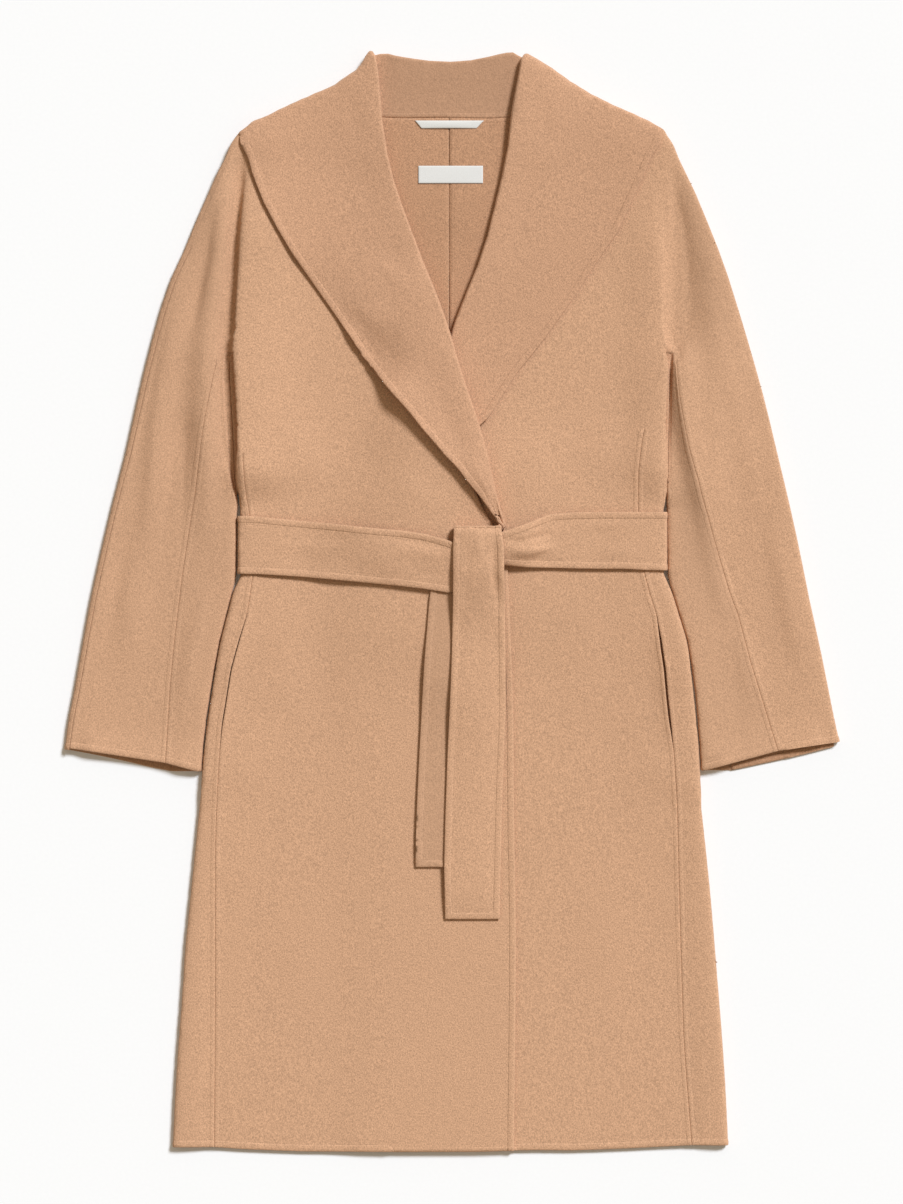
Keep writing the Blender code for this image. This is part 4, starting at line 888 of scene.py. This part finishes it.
def split_border(name, sheets):
    """The samples of a border that meet another piece at a seam, and the others."""
    own = sample_segments(sheets[name][1])
    others = sample_segments(others_of(name, sheets))
    seam = nearest(own * FLATTEN, others * FLATTEN) < SEAM_NEAR
    return own[seam], own[~seam]


def build_wool(name, sheets, material):
    """One cloth piece, from its sheet to its finished wall."""
    bm, border = sheets[name]
    facing = name.startswith("pocket_facing")
    wrapped = name.startswith(("side_panel", "under_sleeve"))
    hidden = facing or name.startswith("back_")
    creases = np.zeros((0, 2)) if hidden else crease_marks(FOLDS + PIECE_FOLDS.get(name, ()))
    refine(bm, border, HIDDEN_FACTOR if hidden else 1.0, creases)
    mesh = Mesh(*arrays(bm))
    bm.free()
    seam, finished = split_border(name, sheets)
    mesh.smooth(WRAPPED_ROUNDS if wrapped else OPEN_ROUNDS)
    to_seam = nearest(mesh.points, seam)
    to_edge = nearest(mesh.points, finished)
    plain = plain_seam(mesh.points)
    own, others = (sample_segments(b, PAIR_CELL) for b in (border, others_of(name, sheets)))
    meet(mesh, own, others, plain)
    if name in POCKETS:
        open_pocket(name, mesh.points)
    if name.startswith(("front", "back")):
        close_tip(mesh.points)
    to_seam = to_seam + plain * FAR
    to_edge = to_edge + plain * FAR * (mesh.points[:, 1] > PLAIN["apex_low"])
    push(mesh.points)
    if name == "shawl_collar":
        cover_tip(mesh.points)
        set_lapel(mesh.points)
    draw_together(mesh.points)
    slant_seam(mesh.points)
    lift_with_folds(mesh.points, WRAP_FLOOR if wrapped else FOLD_FLOOR)
    lean_over(mesh.points)
    relief = np.zeros(len(mesh.points))
    if not facing:
        relief += turned_edge(to_edge, TURNED, TURNED_RISE) * (to_edge < RELIEF_REACH)
        relief += turned_edge(to_seam, SEAM_TURNED, SEAM_RISE) * (to_seam < RELIEF_REACH)
        if not name.startswith("back"):
            relief += seam_ridge(to_seam)
    if name in PIECE_FOLDS:
        up = smooth_step((mesh.normals()[:, 2] - FACING_UP[0]) / FACING_UP[1])
        relief += fold_height(mesh.points[:, :2], PIECE_FOLDS[name]) * up
    mesh.points += mesh.normals() * relief[:, None]
    mesh.unfold(2)
    obj = wall(name + "_cloth", mesh, FACING_CLOTH if facing else CLOTH, 1.0 - plain)
    for key, distance in (("edge", to_edge), ("seam", to_seam)):
        values = np.full(len(obj.data.vertices), FAR)
        values[:len(distance)] = np.minimum(distance, FAR)
        give(obj, key, values)
    give(obj, "tone", tone_of(name, obj))
    obj.data.materials.append(material)
    return obj


def tone_of(name, obj):
    """Painted shade on the collar's stand, the sleeves and the left under sleeve; a darker under tail."""
    co = np.empty(3 * len(obj.data.vertices))
    obj.data.vertices.foreach_get("co", co)
    x, y, _ = co.reshape(-1, 3).T / MM
    # painted shade on the collar's stand
    if name == "shawl_collar":
        up = smooth_step((y - STAND["y"]) / STAND["fade_y"]) * (y < STAND["top"])
        return up * smooth_step((STAND["x"] - np.abs(x)) / STAND["fade_x"])
    # the belt's under tail is a darker colour; the other belts and the pocket facings keep theirs
    if name.startswith(("belt", "pocket")):
        return np.full(len(x), UNDER_TAIL_TONE if name == "belt_tail_under" else 0.0)
    # painted shade on the sleeves, stronger higher up
    right = x < 0
    valley = np.where(right, *(across(GAP[side], "valley", y) for side in ("right", "left")))
    painted_darkening = np.where(right, across(SLEEVE_PAINTED_SHADE, "right", y), across(SLEEVE_PAINTED_SHADE, "left", y))
    # more painted shade on the left under sleeve, which lies in the body's shadow
    if name == "under_sleeve_left":
        under = UNDER_SLEEVE_PAINTED_SHADE
        painted_darkening = painted_darkening + under["low"] + under["more"] * smooth_step((y - under["y"]) / under["over"])
    return painted_darkening * smooth_step((np.abs(x) - valley + SLEEVE_FROM) / SLEEVE_OVER)


def line_with(obj, material):
    """Gives the faces of a wall's inner side another material."""
    obj.data.materials.append(material)
    sides = sum(len(p.vertices) == 3 for p in obj.data.polygons) // 2
    index = np.zeros(len(obj.data.polygons), np.int32)
    index[sides:2 * sides] = 1
    obj.data.polygons.foreach_set("material_index", index)


def top_of(obj, x, y):
    """Height of a piece's upper side at a plan point, in millimetres."""
    hit, place, _, _ = obj.ray_cast((x * MM, y * MM, 0.2), (0, 0, -1))
    return place.z / MM if hit else 0.0


def tape(name, backs, corners, y, cells, bulge, material):
    """A thin woven tape that lies on the two back pieces."""
    z = max(top_of(back, x, y) for back, x in zip(backs, (ON_RIGHT, ON_LEFT))) + TRIM_GAP
    low_left, low_right, top_right, top_left = (np.array(c, float) for c in corners)
    nx, ny = cells
    points, faces = [], []
    for j in range(ny + 1):
        for i in range(nx + 1):
            u, v = i / nx, j / ny
            plan = (low_left * (1 - u) + low_right * u) * (1 - v) + (top_left * (1 - u) + top_right * u) * v
            rise = bulge * math.sin(math.pi * u) * math.sin(math.pi * (0.15 + 0.7 * v))
            points.append((*plan, z + TRIM + rise))
    for j in range(ny):
        for i in range(nx):
            a = j * (nx + 1) + i
            faces += [(a, a + 1, a + nx + 2), (a, a + nx + 2, a + nx + 1)]
    obj = wall(name, Mesh(np.array(points), np.array(faces)), TRIM)
    obj.data.materials.append(material)
    return obj


# --- the scene ---------------------------------------------------------------
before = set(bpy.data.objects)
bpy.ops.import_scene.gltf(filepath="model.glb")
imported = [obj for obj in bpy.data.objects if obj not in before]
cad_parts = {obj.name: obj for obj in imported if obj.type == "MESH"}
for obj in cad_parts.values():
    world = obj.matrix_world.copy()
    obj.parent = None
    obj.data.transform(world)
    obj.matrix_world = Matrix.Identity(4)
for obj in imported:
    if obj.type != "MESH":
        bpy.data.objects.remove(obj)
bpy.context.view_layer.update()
camel = wool("camel_wool", (0.588, 0.341, 0.203))
facing = wool("camel_wool_facing", (0.560, 0.318, 0.190))
# The inside is darker: partly the cloth's other face, partly painted shade where the coat's inside shows.
inside = wool("camel_wool_inside", (0.500, 0.275, 0.158))
tape_white = woven("woven_tape", (0.80, 0.79, 0.75), 0.0011)
label_white = woven("woven_label", (0.82, 0.81, 0.78), 0.0007)

# Each piece's outer and inner side: the left back's sheet is its upper side, which is
# the coat's inside, and the right back's is its lower side.
CLOTHS = {"back_left": (inside, camel), "shawl_collar": (facing, facing)}

sheets = read_sheets(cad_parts)
made = {}
for name in sheets:
    outer, inner = CLOTHS.get(name, (camel, inside))
    obj = build_wool(name, sheets, outer)
    line_with(obj, inner)
    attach(obj, "root")
    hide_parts(name)
    made[name] = obj
bpy.context.view_layer.update()

backs = (made["back_right"], made["back_left"])
strip = tape("hanger_strip_tape", backs, **STRIP, material=tape_white)
label = tape("neck_label_tape", backs, **LABEL, material=label_white)
for obj, name, slot in ((strip, "hanger_strip", "woven_tape"), (label, "neck_label", "woven_label")):
    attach(obj, "root")
    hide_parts(name)

bpy.ops.mesh.primitive_plane_add(size=FLOOR_SIZE, location=(0, 0, 0))
floor = bpy.context.object
floor.name = "floor"
floor.data.materials.append(floor_material())

world = bpy.data.worlds.new("studio")
bpy.context.scene.world = world
world.use_nodes = True
world.node_tree.nodes["Background"].inputs[0].default_value = (*WORLD["colour"], 1)
world.node_tree.nodes["Background"].inputs[1].default_value = WORLD["strength"]

key_data = bpy.data.lights.new("key", "SUN")
key_data.energy = KEY["energy"]
key_data.angle = KEY["angle"]
key_data.color = KEY["colour"]
key = show("key", key_data)
key.location = KEY["place"]
key.rotation_mode = "QUATERNION"
key.rotation_quaternion = Vector([-c for c in KEY["place"]]).to_track_quat("-Z", "Y")

camera_data = bpy.data.cameras.new("camera")
camera_data.lens = CAMERA["lens"]
camera_data.sensor_width = CAMERA["sensor"]
camera = show("camera", camera_data)
camera.location = (*CAMERA["centre"], VIEW_HEIGHT * CAMERA["lens"] / CAMERA["sensor"] + CAMERA["coat"])
camera.rotation_euler = (0, 0, 0)
bpy.context.scene.camera = camera
bpy.context.scene.view_settings.view_transform = "Standard"
